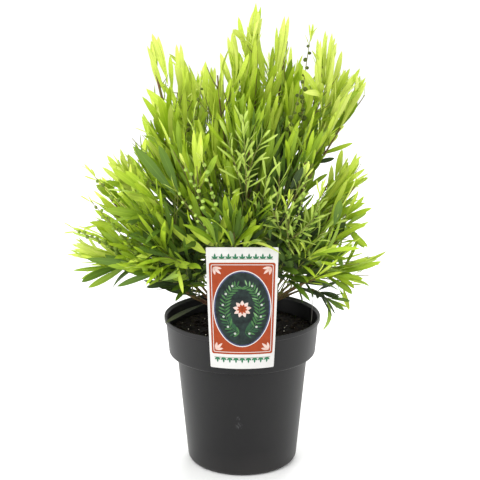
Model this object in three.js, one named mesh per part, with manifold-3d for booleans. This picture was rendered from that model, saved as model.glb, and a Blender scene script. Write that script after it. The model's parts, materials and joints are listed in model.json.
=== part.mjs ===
// A young bottlebrush shrub in a stepped nursery pot, with its picture label hooked on the rim.
// Millimetres, +Z up. The origin is the centre of the pot's flat underside, and -Y is the label's side.
//
// The woody part is a short trunk, leading stems that rise from it and boughs that leave those stems.
// Each limb carries one mass of foliage: a shoot that goes on along the limb's own curve, side shoots
// that leave it by the golden angle, and leaves and flower buds set round every shoot the same way.
// A leaf that would reach another mass, a limb, the pot or the label is turned, and then left out.

import * as THREE from "three";
import { mergeVertices } from "three/addons/utils/BufferGeometryUtils.js";
import Module from "manifold-3d";

// ---------------------------------------------------------------- driving sizes

const clearance = 0.3; // kept between any two pieces
const shortestEdge = 0.02; // what a union leaves smaller than this is merged away

const potSize = {
  height: 194,
  lipRadius: 100,
  lipHeight: 6,
  bandTopRadius: 97.8,
  bandFootRadius: 94,
  bandHeight: 49,
  shoulderRadius: 84.2,
  baseRadius: 71,
  footRadius: 68,
  footHeight: 6, // of the slope that leads from the base's flat to the pot's side
  wall: 2,
  floor: 3,
  ledge: 2.5, // thickness at the step
  segments: 24,
};

// The mix mounds a little between the pot's wall and the level middle that the trunk stands on.
const mixSize = { top: 172, mound: 2.5, moundRadius: 64, levelRadius: 14, wallGap: 0.7, segments: 24 };

const labelSize = {
  topWidth: 86,
  footWidth: 79,
  foot: 153.5,
  top: 309,
  thickness: 1,
  standoff: 0.65, // from the pot's lip
  lean: 4.2, // degrees forward from upright
  footBend: 98, // radius that the foot is bent to, round the pot
  bendTop: 0.75, // share of the height above which the card is flat
  bendFade: 1.5, // above 1, the bend fades faster near the foot
  leastBend: 1e-3,
  hookWidth: 24,
  hookDepth: 14,
  hookGap: 3, // between the hook and the pot's inner wall, which leans in below
  columns: 6,
  rows: 6,
};

const trunkSize = {
  foot: 8.5,
  waist: 6.2,
  crown: 5.4,
  flare: 9, // height that the foot's flare takes
  height: 27,
  lean: 2.5,
  setBack: 6, // from the pot's axis
  sides: 8,
  steps: 5,
};

const limbSize = {
  stemRadius: 3, // at the foot of a leading stem
  boughRadius: 1.9, // at the foot of a bough
  thinning: 0.62, // share of the foot radius left at the end of the whole limb
  parentPull: 0.35, // how much a bough sets off along its parent
  stemRise: 0.3, // how much a leading stem sets off upward
  handle: 0.33, // reach of the curve's handles, as a share of the limb's span
  stemBare: 0.28, // share of a leading stem that bears no foliage
  boughBare: 0.18,
  sides: 5,
  stemSteps: 4,
  boughSteps: 3,
  pathSteps: 8, // of the path that others keep clear of
};

const shootSize = {
  tuft: 46, // how far the last leaves reach past a shoot's end
  leafSpacing: 27, // along a leading shoot
  leaderSteps: 4,
  sides: 3,
  probes: [0.3, 0.5, 0.75, 1], // shares of a shoot's length where its room is tried
  attempts: 6,
  retryTurn: 1.05, // how far round a side shoot moves for its next attempt
  sideSteps: 2,
  sideLeaves: 4,
  sideSpacing: 52, // between side shoots, where there are not too many
  mostSides: 3,
  sideStart: 0.06, // share of the leading shoot below which no side shoot leaves
  sideStretch: 0.74, // share that they are spread over
  sideStray: 0.06,
  sideVariety: 0.3, // of their angles and lengths
  sideRadius: 1.05,
  sideTaper: 0.35,
  sideLength: 92,
  sideShortening: 0.36, // of the ones nearer the leading shoot's end
  sideAngle: 34,
  sideRise: 0.5, // how much a side shoot turns up along its length
  retryScale: 0.92,
};

const leafSize = {
  length: 86,
  width: 15,
  thickness: 1.3,
  belt: 0.42, // where along its length a leaf is widest
  sink: 0.4, // share of the shoot's radius that a leaf's root passes its middle by
  baseAngle: 50, // from the shoot, at its foot
  tipAngle: 13, // at its end
  lastAngle: 0.02, // the leaf that carries the shoot on, in radians
  arch: 0.07,
  crowding: 0.68, // below 1, leaves crowd towards a shoot's end
  leaderStart: 0.06, // share of a leading shoot where its leaves begin
  sideStart: 0.25,
  finish: 0.97, // and where all but the last one end
  lift: 1.5, // above 1, leaves stay spread until near the shoot's end
  bearingStray: 0.5, // radians
  lengthVariety: 0.3,
  widthVariety: 0.24,
  youngShorter: 0.2,
  youngNarrower: 0.15,
  mostRoll: 1.3, // radians from one extreme to the other
  drooping: 0.25, // share of the leaves that arch down
  probes: [0.4, 0.75], // shares of each half of a blade's edge where its room is tried
  attempts: 5,
  retryTurn: 1.2,
  retryScale: 0.9,
};

const budSize = { radius: 2.6, stand: 2.2, angle: 1.3, firstShare: 0.4, lastShare: 0.78 };

const crownSize = {
  levelHeight: 250, // where a shoot's end would lie level
  uprightness: 2, // how much steeper a shoot's end stands than a line from the level height
  middle: new THREE.Vector3(0, 0, 290),
  floor: 224, // underside
  core: 62, // radius that any mass may fill, however near the axis its tip stands
  spread: 10, // how far past its tip's radius a mass may spread
  reach: 2, // and past its tip's distance from the crown's middle
  margin: 1.6, // how much nearer a leaf keeps to its own mass's leading shoot than to any other
};

// What foliage keeps from the pot's rim and from the label, and shoots and leaves from other limbs.
const keepOff = { rim: 2, insideRim: 9, label: 4, shoot: 2, leaf: 1.2 };

const firstSeed = 5;
const goldenAngle = THREE.MathUtils.degToRad(137.508);

// Every limb: what it grows from, how far up that one's bare length it leaves, where its crown's tip
// stands, how many flower buds it bears, and how much more steeply than the rest its end hangs.
const limbs = [
  { name: "top_centre", from: "trunk", at: 0.97, tip: [19, 2, 584] },
  { name: "top_left", from: "trunk", at: 0.85, tip: [-114, -4, 551] },
  { name: "top_right", from: "trunk", at: 0.9, tip: [106, 0, 556], buds: 4 },
  { name: "back_left", from: "trunk", at: 0.8, tip: [-72, 108, 510] },
  { name: "back_right", from: "trunk", at: 0.75, tip: [68, 112, 518] },
  { name: "front", from: "trunk", at: 0.65, tip: [8, -94, 474], buds: 4 },
  { name: "low_left", from: "trunk", at: 0.5, tip: [-220, -6, 282], buds: 4 },
  { name: "low_right", from: "trunk", at: 0.55, tip: [180, -4, 268] },
  { name: "inner_right", from: "top_centre", at: 0.6, tip: [56, 30, 566] },
  { name: "inner_left", from: "top_centre", at: 0.42, tip: [-32, -34, 550] },
  { name: "shoulder_right", from: "top_right", at: 0.6, tip: [149, 4, 508] },
  { name: "shoulder_left", from: "top_left", at: 0.6, tip: [-126, 30, 474] },
  { name: "outer_left", from: "top_left", at: 0.3, tip: [-194, -8, 388] },
  { name: "outer_right", from: "top_right", at: 0.3, tip: [162, -6, 404] },
  { name: "front_left", from: "front", at: 0.4, tip: [-78, -98, 452], buds: 4 },
  { name: "front_right", from: "front", at: 0.6, tip: [84, -92, 452], buds: 4 },
  { name: "front_low", from: "front", at: 0.25, tip: [-12, -142, 372] },
  { name: "back_middle", from: "back_right", at: 0.5, tip: [0, 162, 430] },
  { name: "back_outer_left", from: "back_left", at: 0.35, tip: [-142, 108, 392] },
  { name: "back_outer_right", from: "back_right", at: 0.3, tip: [136, 112, 390] },
  { name: "side_front_left", from: "low_left", at: 0.5, tip: [-140, -92, 374], buds: 4 },
  { name: "side_front_right", from: "low_right", at: 0.7, tip: [138, -92, 352] },
  { name: "low_front_left", from: "low_left", at: 0.75, tip: [-158, -96, 286] },
  { name: "low_front_right", from: "low_right", at: 0.5, tip: [116, -128, 286] },
  { name: "low_back_left", from: "low_left", at: 0.4, tip: [-140, 124, 284] },
  { name: "low_back_right", from: "low_right", at: 0.35, tip: [134, 126, 280] },
  { name: "low_back", from: "trunk", at: 0.4, tip: [-6, 184, 292] },
  { name: "drooping", from: "low_right", at: 0.9, tip: [112, -38, 184], hang: 2.5 },
];

const finishes = {
  pot: { color: 0x3b3b3e, roughness: 0.45 },
  mix: { color: 0x17120e, roughness: 0.95 },
  label: { color: 0xf2f0ea, roughness: 0.4 },
  trunk: { color: 0x6b4530, roughness: 0.85 },
  limb: { color: 0x7a5236, roughness: 0.8 },
  leaves: [
    { color: 0x6f9a24, roughness: 0.55 },
    { color: 0x86ad2c, roughness: 0.55 },
    { color: 0x9cc431, roughness: 0.55 },
  ],
};

// ---------------------------------------------------------------- small tools

const wasm = await Module();
wasm.setup();

// A repeatable stream of numbers from 0 to 1 for each seed.
function stream(seed) {
  let state = seed >>> 0;
  return () => {
    state = (state + 0x6d2b79f5) >>> 0;
    let t = Math.imul(state ^ (state >>> 15), state | 1);
    t ^= t + Math.imul(t ^ (t >>> 7), t | 61);
    return ((t ^ (t >>> 14)) >>> 0) / 4294967296;
  };
}

function solidOf(geometry) {
  const bare = geometry.index ? geometry.toNonIndexed() : geometry.clone();
  bare.deleteAttribute("normal");
  bare.deleteAttribute("uv");
  const merged = mergeVertices(bare, 1e-4);
  const mesh = new wasm.Mesh({
    numProp: 3,
    vertProperties: merged.attributes.position.array,
    triVerts: new Uint32Array(merged.index.array),
  });
  return new wasm.Manifold(mesh);
}

function geometryOf(solid) {
  const mesh = solid.getMesh();
  const geometry = new THREE.BufferGeometry();
  geometry.setAttribute("position", new THREE.BufferAttribute(new Float32Array(mesh.vertProperties), 3));
  geometry.setIndex(new THREE.BufferAttribute(new Uint32Array(mesh.triVerts), 1));
  return geometry;
}

function geometryFrom(points, faces) {
  const geometry = new THREE.BufferGeometry();
  geometry.setAttribute("position", new THREE.Float32BufferAttribute(points.flatMap((p) => p.toArray()), 3));
  geometry.setIndex(faces.flat());
  return geometry;
}

// The largest of a solid's separate bodies, so that a cut or a union leaves one piece and no scraps.
function largestBody(solid) {
  return solid.decompose().reduce((best, body) => (body.volume() > best.volume() ? body : best));
}

function turned(profile, segments) {
  const points = profile.map(([radius, height]) => new THREE.Vector2(radius, height));
  return new THREE.LatheGeometry(points, segments).rotateX(Math.PI / 2);
}

// Two unit vectors square to a direction and to each other.
function across(direction) {
  const reference = Math.abs(direction.z) < 0.9 ? new THREE.Vector3(0, 0, 1) : new THREE.Vector3(0, 1, 0);
  const u = new THREE.Vector3().crossVectors(reference, direction).normalize();
  const v = new THREE.Vector3().crossVectors(direction, u);
  return [u, v];
}

// A direction leaning off another by an angle, towards a bearing round it.
function leaning(direction, angle, bearing) {
  const [u, v] = across(direction);
  const side = u.multiplyScalar(Math.cos(bearing)).addScaledVector(v, Math.sin(bearing));
  return direction.clone().multiplyScalar(Math.cos(angle)).addScaledVector(side, Math.sin(angle)).normalize();
}

// A tapering round limb along a curve, with flat ends.
function taperedLimb(curve, radiusAt, sides, steps) {
  const frames = curve.computeFrenetFrames(steps, false);
  const points = [];
  const faces = [];
  for (let i = 0; i <= steps; i++) {
    const centre = curve.getPointAt(i / steps);
    for (let k = 0; k < sides; k++) {
      const turn = (2 * Math.PI * k) / sides;
      const side = frames.normals[i].clone().multiplyScalar(Math.cos(turn));
      side.addScaledVector(frames.binormals[i], Math.sin(turn));
      points.push(centre.clone().addScaledVector(side, radiusAt(i / steps)));
    }
  }
  for (let i = 0; i < steps; i++)
    for (let k = 0; k < sides; k++) {
      const a = i * sides + k;
      const b = i * sides + ((k + 1) % sides);
      faces.push([a, b, b + sides], [a, b + sides, a + sides]);
    }
  const last = steps * sides;
  for (let k = 1; k < sides - 1; k++) {
    faces.push([0, k + 1, k]);
    faces.push([last, last + k, last + k + 1]);
  }
  return geometryFrom(points, faces);
}

function distanceToPath(point, path) {
  const segment = new THREE.Line3();
  const nearest = new THREE.Vector3();
  let best = Infinity;
  for (let i = 0; i + 1 < path.length; i++) {
    segment.set(path[i], path[i + 1]).closestPointToPoint(point, true, nearest);
    best = Math.min(best, nearest.distanceTo(point));
  }
  return best;
}

// ---------------------------------------------------------------- pot and potting mix

function potProfile() {
  const { height, wall, floor, footRadius, footHeight, baseRadius, shoulderRadius } = potSize;
  const { bandFootRadius, bandTopRadius, lipRadius } = potSize;
  const step = height - potSize.bandHeight;
  const lipFoot = height - potSize.lipHeight;
  return [
    [0, 0],
    [footRadius, 0],
    [baseRadius, footHeight],
    [shoulderRadius, step],
    [bandFootRadius, step],
    [bandTopRadius, lipFoot],
    [lipRadius, lipFoot],
    [lipRadius, height],
    [bandTopRadius - wall, height],
    [bandFootRadius - wall, step + potSize.ledge],
    [shoulderRadius - wall, step + potSize.ledge],
    [baseRadius - wall, floor],
    [0, floor],
  ];
}

// The mix fills the pot, a clearance inside its wall and floor.
function mixProfile() {
  const { height, wall, floor, baseRadius, shoulderRadius, bandFootRadius, bandTopRadius } = potSize;
  const { top, mound, moundRadius, levelRadius, wallGap } = mixSize;
  const ledge = height - potSize.bandHeight + potSize.ledge;
  const share = (top - ledge) / (height - ledge);
  const inset = wall + wallGap;
  return [
    [0, floor + clearance],
    [baseRadius - inset, floor + clearance],
    [shoulderRadius - inset, ledge + clearance],
    [bandFootRadius - inset, ledge + clearance],
    [THREE.MathUtils.lerp(bandFootRadius, bandTopRadius, share) - inset, top],
    [moundRadius, top + mound],
    [levelRadius, top],
    [0, top],
  ];
}

// ---------------------------------------------------------------- label

// A point of the card: across it from -1 to 1, up it from 0 to 1, and some depth behind its face.
function cardPoint(side, up, depth) {
  const { topWidth, footWidth, foot, top, lean, thickness, standoff } = labelSize;
  const half = THREE.MathUtils.lerp(footWidth, topWidth, up) / 2;
  const height = THREE.MathUtils.lerp(foot, top, up);
  const bend = Math.max(labelSize.leastBend, 1 - up / labelSize.bendTop) ** labelSize.bendFade;
  const bendRadius = labelSize.footBend / bend;
  const turn = (half * side) / bendRadius;
  const reach = potSize.lipRadius + standoff + thickness;
  const lipLine = potSize.height - potSize.lipHeight / 2;
  const forward = (height - lipLine) * Math.tan(THREE.MathUtils.degToRad(lean));
  const sag = bendRadius * (1 - Math.cos(turn));
  return new THREE.Vector3(bendRadius * Math.sin(turn), -(reach + forward) + sag + depth, height);
}

function labelCard() {
  const { columns, rows, thickness } = labelSize;
  const points = [];
  const faces = [];
  const row = columns + 1;
  const back = row * (rows + 1); // where the back face's points start
  for (const depth of [0, thickness])
    for (let j = 0; j <= rows; j++)
      for (let i = 0; i <= columns; i++) points.push(cardPoint((2 * i) / columns - 1, j / rows, depth));
  for (let j = 0; j < rows; j++)
    for (let i = 0; i < columns; i++) {
      const a = j * row + i;
      const b = back + a;
      faces.push([a, a + 1, a + row + 1], [a, a + row + 1, a + row]);
      faces.push([b, b + row + 1, b + 1], [b, b + row, b + row + 1]);
    }
  const edge = (a, b) => faces.push([a, back + a, back + b], [a, back + b, b]);
  for (let i = 0; i < columns; i++) {
    edge(i, i + 1);
    edge(rows * row + i + 1, rows * row + i);
  }
  for (let j = 0; j < rows; j++) {
    edge((j + 1) * row, j * row);
    edge(j * row + columns, (j + 1) * row + columns);
  }
  return geometryFrom(points, faces);
}

// The strip at the card's back that folds over the pot's lip and down inside it.
function labelHook() {
  const { thickness, hookWidth, hookDepth, hookGap } = labelSize;
  const seat = potSize.height + clearance;
  const outer = cardPoint(0, (seat - labelSize.foot) / (labelSize.top - labelSize.foot), thickness / 2).y;
  const wallInside = Math.sqrt((potSize.bandTopRadius - potSize.wall) ** 2 - (hookWidth / 2) ** 2);
  const inner = -(wallInside - hookGap);
  const outline = new THREE.Shape();
  outline.moveTo(outer, seat);
  outline.lineTo(inner, seat);
  outline.lineTo(inner, seat - hookDepth);
  outline.lineTo(inner + thickness, seat - hookDepth);
  outline.lineTo(inner + thickness, seat + thickness);
  outline.lineTo(outer, seat + thickness);
  const strip = new THREE.ExtrudeGeometry(outline, { depth: hookWidth, bevelEnabled: false });
  strip.translate(0, 0, -hookWidth / 2);
  // the outline's own x and y become the object's Y and Z
  const place = new THREE.Matrix4().makeBasis(
    new THREE.Vector3(0, 1, 0),
    new THREE.Vector3(0, 0, 1),
    new THREE.Vector3(1, 0, 0),
  );
  return strip.applyMatrix4(place);
}

// ---------------------------------------------------------------- limbs

const trunkFoot = new THREE.Vector3(0, trunkSize.setBack, mixSize.top + clearance);
const trunkTop = trunkFoot.clone().add(new THREE.Vector3(-trunkSize.lean, 0, trunkSize.height));
const trunkCurve = new THREE.LineCurve3(trunkFoot, trunkTop);

function trunkRadius(share) {
  const { foot, waist, crown, flare, height } = trunkSize;
  const rise = share * height;
  if (rise < flare) return THREE.MathUtils.lerp(foot, waist, Math.sin(((rise / flare) * Math.PI) / 2));
  return THREE.MathUtils.lerp(waist, crown, (rise - flare) / (height - flare));
}

// The trunk's rings lie level, so that its foot is cut flat on the mix; it leans by a shear.
function trunkSolid(extra) {
  const upright = new THREE.LineCurve3(trunkFoot, trunkFoot.clone().setZ(trunkTop.z));
  const { sides, steps, lean, height } = trunkSize;
  const geometry = taperedLimb(upright, (share) => trunkRadius(share) + extra, sides, steps);
  const slope = -lean / height;
  const shear = new THREE.Matrix4().makeShear(0, 0, 0, 0, slope, 0);
  geometry.translate(0, 0, -trunkFoot.z).applyMatrix4(shear).translate(0, 0, trunkFoot.z);
  return solidOf(geometry);
}

// The way that a shoot which ends at a place points: outward low in the crown, and upright at its top.
function endingAt(place, hang = 1) {
  const rise = hang * crownSize.uprightness * (place.z - crownSize.levelHeight);
  return new THREE.Vector3(place.x, place.y, rise).normalize();
}

// A limb and its leading shoot are one curve, from its parent's middle to its crown's tip less the tuft.
function growLimb(limb, parent) {
  const { handle, parentPull, stemRise, thinning } = limbSize;
  limb.bare = parent ? limbSize.boughBare : limbSize.stemBare;
  limb.foot = parent ? limbSize.boughRadius : limbSize.stemRadius;
  limb.radiusAt = (share) => limb.foot * (1 - (1 - thinning) * share);
  const start = parent ? parent.curve.getPointAt(limb.at * parent.bare) : trunkCurve.getPointAt(limb.at);
  const tip = new THREE.Vector3(...limb.tip);
  const ending = endingAt(tip, limb.hang);
  const end = tip.clone().addScaledVector(ending, -shootSize.tuft);
  const leaving = end.clone().sub(start).normalize();
  if (parent) leaving.lerp(parent.curve.getTangentAt(limb.at * parent.bare), parentPull).normalize();
  else leaving.lerp(new THREE.Vector3(leaving.x, leaving.y, stemRise), stemRise).normalize();
  const span = end.distanceTo(start) * handle;
  const before = start.clone().addScaledVector(leaving, span);
  limb.curve = new THREE.CubicBezierCurve3(start, before, end.clone().addScaledVector(ending, -span), end);
  limb.reach = tip.distanceTo(crownSize.middle) + crownSize.reach;
  const points = (from, to, steps) =>
    Array.from({ length: steps + 1 }, (_, i) => limb.curve.getPointAt(from + ((to - from) * i) / steps));
  limb.boughPath = points(0, limb.bare, limbSize.pathSteps);
  limb.shootPath = points(limb.bare, 1, shootSize.leaderSteps);
}

// The stretch of a limb's curve between two shares of its length.
function stretch(curve, from, to) {
  const part = new THREE.Curve();
  part.getPoint = (t, target = new THREE.Vector3()) =>
    target.copy(curve.getPointAt(Math.min(1, from + (to - from) * t)));
  return part;
}

function limbSolid(limb, extra) {
  const steps = limb.from === "trunk" ? limbSize.stemSteps : limbSize.boughSteps;
  const radius = (share) => limb.radiusAt(share * limb.bare) + extra;
  return solidOf(taperedLimb(stretch(limb.curve, 0, limb.bare), radius, limbSize.sides, steps));
}

// ---------------------------------------------------------------- foliage

// A curve's own chords, so that what sits on a faceted shoot meets its real middle line.
function chords(curve, steps) {
  const points = curve.getSpacedPoints(steps);
  const path = new THREE.Curve();
  path.getPoint = (t, target = new THREE.Vector3()) => {
    const step = Math.min(steps - 1, Math.floor(t * steps));
    return target.lerpVectors(points[step], points[step + 1], t * steps - step);
  };
  return path;
}

// The leading shoot goes on from the limb's end, a clearance further along its curve.
function leadingShoot(limb) {
  const along = 1 - limb.bare;
  const length = limb.curve.getLength() * along;
  const gap = clearance / limb.curve.getLength();
  return {
    curve: chords(stretch(limb.curve, limb.bare + gap, 1), shootSize.leaderSteps),
    steps: shootSize.leaderSteps,
    radiusAt: (share) => limb.radiusAt(limb.bare + along * share),
    length,
    leaves: Math.round(length / shootSize.leafSpacing),
    first: leafSize.leaderStart,
  };
}

// A side shoot leaves the leading one at an angle and turns up; each attempt tries another bearing.
function sideShoot(leader, place, attempt) {
  const { retryTurn, retryScale, sideAngle, sideLength, sideShortening, sideRise } = shootSize;
  const start = leader.curve.getPointAt(place.at);
  const angle = THREE.MathUtils.degToRad(sideAngle * place.spread);
  const away = leaning(leader.curve.getTangentAt(place.at), angle, place.bearing + attempt * retryTurn);
  const half = (sideLength * place.size * (1 - sideShortening * place.at) * retryScale ** attempt) / 2;
  const middle = start.clone().addScaledVector(away, half);
  const turn = away.clone().lerp(endingAt(start), sideRise).normalize();
  const curve = new THREE.QuadraticBezierCurve3(start, middle, middle.clone().addScaledVector(turn, half));
  return {
    curve: chords(curve, shootSize.sideSteps),
    steps: shootSize.sideSteps,
    radiusAt: (share) => shootSize.sideRadius * (1 - shootSize.sideTaper * share),
    leaves: shootSize.sideLeaves,
    first: leafSize.sideStart,
  };
}

// A factor about 1, from a repeatable stream.
function varied(range, random) {
  return 1 + range * (random() - 0.5);
}

// Where side shoots leave a leading one: evenly spaced up it, each turned on by the golden angle.
function sidePlaces(leader, random) {
  const { sideStart, sideStretch, sideStray, sideVariety } = shootSize;
  const count = Math.min(shootSize.mostSides, Math.round(leader.length / shootSize.sideSpacing));
  const firstBearing = random() * 2 * Math.PI;
  return Array.from({ length: count }, (_, k) => ({
    at: sideStart + (sideStretch * (k + 0.5)) / count + (random() - 0.5) * sideStray,
    bearing: firstBearing + k * goldenAngle,
    spread: varied(sideVariety, random),
    size: varied(sideVariety, random),
  }));
}

// Where the leaves of a shoot sit and how each one points; the last one carries the shoot on.
function leavesOf(shoot, random) {
  const { length, width, arch, baseAngle, tipAngle, finish, youngShorter, youngNarrower } = leafSize;
  const firstBearing = random() * 2 * Math.PI;
  const leaves = Array.from({ length: shoot.leaves }, (_, i) => {
    const share = shoot.first + (finish - shoot.first) * ((i + 0.5) / shoot.leaves) ** leafSize.crowding;
    const young = share ** 3;
    return {
      share,
      bearing: firstBearing + i * goldenAngle + (random() - 0.5) * leafSize.bearingStray,
      angle: THREE.MathUtils.degToRad(THREE.MathUtils.lerp(baseAngle, tipAngle, share ** leafSize.lift)),
      length: length * (1 - youngShorter * young) * varied(leafSize.lengthVariety, random),
      width: width * (1 - youngNarrower * young) * varied(leafSize.widthVariety, random),
      roll: (random() - 0.5) * leafSize.mostRoll,
      arch: arch * (random() - leafSize.drooping),
    };
  });
  const last = { share: 1, bearing: firstBearing, angle: leafSize.lastAngle, roll: 0, arch: 0 };
  return [...leaves, { ...last, length: shootSize.tuft, width }];
}

// A lance-shaped blade: root, two edge points, a ridge above them and a tip.
function leafPoints(shoot, leaf, attempt) {
  const root = shoot.curve.getPointAt(leaf.share);
  const axis = shoot.curve.getTangentAt(leaf.share);
  const forward = leaning(axis, leaf.angle, leaf.bearing + attempt * leafSize.retryTurn);
  const inward = axis.clone().addScaledVector(forward, -axis.dot(forward)).normalize();
  const level = new THREE.Vector3().crossVectors(forward, inward);
  const up = inward.multiplyScalar(Math.cos(leaf.roll)).addScaledVector(level, Math.sin(leaf.roll));
  const sideways = new THREE.Vector3().crossVectors(forward, up);
  const length = leaf.length * leafSize.retryScale ** attempt;
  const sink = shoot.radiusAt(leaf.share) * leafSize.sink;
  const at = (along, aside, rise) =>
    root.clone().addScaledVector(forward, along).addScaledVector(sideways, aside).addScaledVector(up, rise);
  const belt = length * leafSize.belt;
  const sag = leaf.arch * length;
  return [
    at(-sink, 0, 0),
    at(belt, -leaf.width / 2, sag),
    at(belt, leaf.width / 2, sag),
    at(belt, 0, sag + leafSize.thickness),
    at(length, 0, 0),
  ];
}

const leafFaces = [[0, 1, 2], [0, 3, 1], [0, 2, 3], [4, 2, 1], [4, 1, 3], [4, 3, 2]];

// True if a point is free of the pot, the potting mix and the label.
function clearOfPot(point) {
  const { lipRadius, lipHeight, height } = potSize;
  const radius = Math.hypot(point.x, point.y);
  const nearLip = radius > lipRadius - keepOff.insideRim && radius < lipRadius + keepOff.rim;
  const inWall = nearLip && point.z < height + keepOff.rim;
  const inPot = radius < lipRadius + keepOff.rim && point.z < height - lipHeight;
  const overLabel = Math.abs(point.x) < labelSize.topWidth / 2 + keepOff.label;
  const atLabel = overLabel && point.y < -(lipRadius - keepOff.insideRim);
  return !(inWall || inPot || (atLabel && point.z < labelSize.top + keepOff.label));
}

// True if a point is above the crown's underside, and no further from the crown's middle, or from its
// axis, than the mass's tip.
function withinReach(point, limb) {
  const [x, y] = limb.tip;
  const breadth = Math.max(Math.hypot(x, y) + crownSize.spread, crownSize.core);
  const high = point.z > Math.min(crownSize.floor, limb.tip[2] - crownSize.reach);
  return high && point.distanceTo(crownSize.middle) < limb.reach && Math.hypot(point.x, point.y) < breadth;
}

// True if every point keeps to the mass's own space: off every limb, within reach, and nearer to its
// own leading shoot than to any other.
function fits(points, limb, reach) {
  return points.every((point) => {
    if (!clearOfPot(point) || !withinReach(point, limb)) return false;
    const own = distanceToPath(point, limb.shootPath) + crownSize.margin;
    return limbs.every((other) => {
      if (distanceToPath(point, other.boughPath) < other.foot + reach) return false;
      return other === limb || distanceToPath(point, other.shootPath) > own;
    });
  });
}

// Points down a blade's edges and middle, close enough together to miss no limb.
function leafProbes([root, left, right, , tip]) {
  const probes = [tip, left, right];
  for (const side of [left, right])
    for (const share of leafSize.probes)
      probes.push(root.clone().lerp(side, share), side.clone().lerp(tip, share));
  return probes;
}

// The flower buds set along a shoot that bears them in place of its lower leaves.
function budsOf(limb, shoot) {
  const centres = Array.from({ length: limb.buds }, (_, i) => {
    const share = THREE.MathUtils.lerp(budSize.firstShare, budSize.lastShare, i / limb.buds);
    const direction = leaning(shoot.curve.getTangentAt(share), budSize.angle, i * goldenAngle);
    return shoot.curve.getPointAt(share).addScaledVector(direction, budSize.stand);
  });
  return centres
    .filter((centre) => fits([centre], limb, budSize.radius + keepOff.leaf))
    .map((centre) => solidOf(new THREE.OctahedronGeometry(budSize.radius).translate(...centre.toArray())));
}

function shootSolid(shoot) {
  return solidOf(taperedLimb(shoot.curve, shoot.radiusAt, shootSize.sides, shoot.steps));
}

// The first of a few attempts that keeps to the mass's space, or nothing.
function firstFit(attempts, make, isFree) {
  for (let attempt = 0; attempt < attempts; attempt++) {
    const made = make(attempt);
    if (isFree(made)) return made;
  }
  return null;
}

function massSolid(limb, index) {
  const random = stream(firstSeed + index);
  const leader = leadingShoot(limb);
  const shoots = [leader];
  const shootFits = (shoot) =>
    fits(shootSize.probes.map((share) => shoot.curve.getPointAt(share)), limb, keepOff.shoot);
  for (const place of sidePlaces(leader, random)) {
    const shoot = firstFit(shootSize.attempts, (attempt) => sideShoot(leader, place, attempt), shootFits);
    if (shoot) shoots.push(shoot);
  }
  const pieces = shoots.map(shootSolid);
  shoots.forEach((shoot, order) => {
    const budded = limb.buds && order === 1;
    for (const leaf of leavesOf(shoot, random)) {
      if (budded && leaf.share < budSize.lastShare) continue;
      const leafFits = (corners) => fits(leafProbes(corners), limb, keepOff.leaf);
      const corners = firstFit(leafSize.attempts, (attempt) => leafPoints(shoot, leaf, attempt), leafFits);
      if (corners) pieces.push(solidOf(geometryFrom(corners, leafFaces)));
    }
    if (budded) pieces.push(...budsOf(limb, shoot));
  });
  return largestBody(wasm.Manifold.union(pieces).subtract(limbSpace).simplify(shortestEdge));
}

// ---------------------------------------------------------------- assembly

const plant = new THREE.Group();
plant.name = "potted_bottlebrush";

function addMesh(name, geometry, finish) {
  const mesh = new THREE.Mesh(geometry, new THREE.MeshStandardMaterial({ ...finish, metalness: 0 }));
  mesh.name = name;
  plant.add(mesh);
}

addMesh("pot", turned(potProfile(), potSize.segments), finishes.pot);
addMesh("potting_mix", turned(mixProfile(), mixSize.segments), finishes.mix);
addMesh("plant_label", geometryOf(solidOf(labelCard()).add(solidOf(labelHook()))), finishes.label);
addMesh("trunk", geometryOf(trunkSolid(0)), finishes.trunk);

const byName = new Map(limbs.map((limb) => [limb.name, limb]));
for (const limb of limbs) growLimb(limb, byName.get(limb.from));

// Each limb is cut clear of the trunk and of every limb that was made before it.
let limbSpace = trunkSolid(clearance);
for (const limb of limbs) {
  const solid = largestBody(limbSolid(limb, 0).subtract(limbSpace));
  limbSpace = limbSpace.add(limbSolid(limb, clearance));
  addMesh((limb.from === "trunk" ? "stem_" : "bough_") + limb.name, geometryOf(solid), finishes.limb);
}

limbs.forEach((limb, index) => {
  const finish = finishes.leaves[index % finishes.leaves.length];
  addMesh("foliage_" + limb.name, geometryOf(massSolid(limb, index)), finish);
});

export default plant;
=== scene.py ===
import json
import math
import time

import bmesh
import bpy
import numpy as np
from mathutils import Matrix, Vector, noise

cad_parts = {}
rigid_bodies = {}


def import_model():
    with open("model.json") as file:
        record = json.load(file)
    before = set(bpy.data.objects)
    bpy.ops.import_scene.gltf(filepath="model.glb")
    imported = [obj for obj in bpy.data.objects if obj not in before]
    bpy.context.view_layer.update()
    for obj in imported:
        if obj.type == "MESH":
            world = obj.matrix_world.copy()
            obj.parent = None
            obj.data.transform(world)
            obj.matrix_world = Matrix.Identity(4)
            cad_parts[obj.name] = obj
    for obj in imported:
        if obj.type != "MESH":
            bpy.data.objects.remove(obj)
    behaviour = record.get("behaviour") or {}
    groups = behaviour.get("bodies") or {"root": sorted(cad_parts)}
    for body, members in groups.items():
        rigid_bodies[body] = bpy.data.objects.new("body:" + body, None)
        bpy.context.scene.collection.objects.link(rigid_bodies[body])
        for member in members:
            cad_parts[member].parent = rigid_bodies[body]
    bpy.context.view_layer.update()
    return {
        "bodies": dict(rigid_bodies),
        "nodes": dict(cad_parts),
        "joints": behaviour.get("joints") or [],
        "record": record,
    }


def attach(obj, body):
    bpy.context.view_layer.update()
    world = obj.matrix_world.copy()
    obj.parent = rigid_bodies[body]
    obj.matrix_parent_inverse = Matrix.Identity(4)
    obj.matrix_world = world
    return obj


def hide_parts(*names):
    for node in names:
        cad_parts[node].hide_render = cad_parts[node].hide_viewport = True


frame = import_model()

# A young bottlebrush shrub in a stepped nursery pot, with its picture label hooked on the rim.
# Sizes are in millimetres and become metres where a mesh is made.

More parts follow.
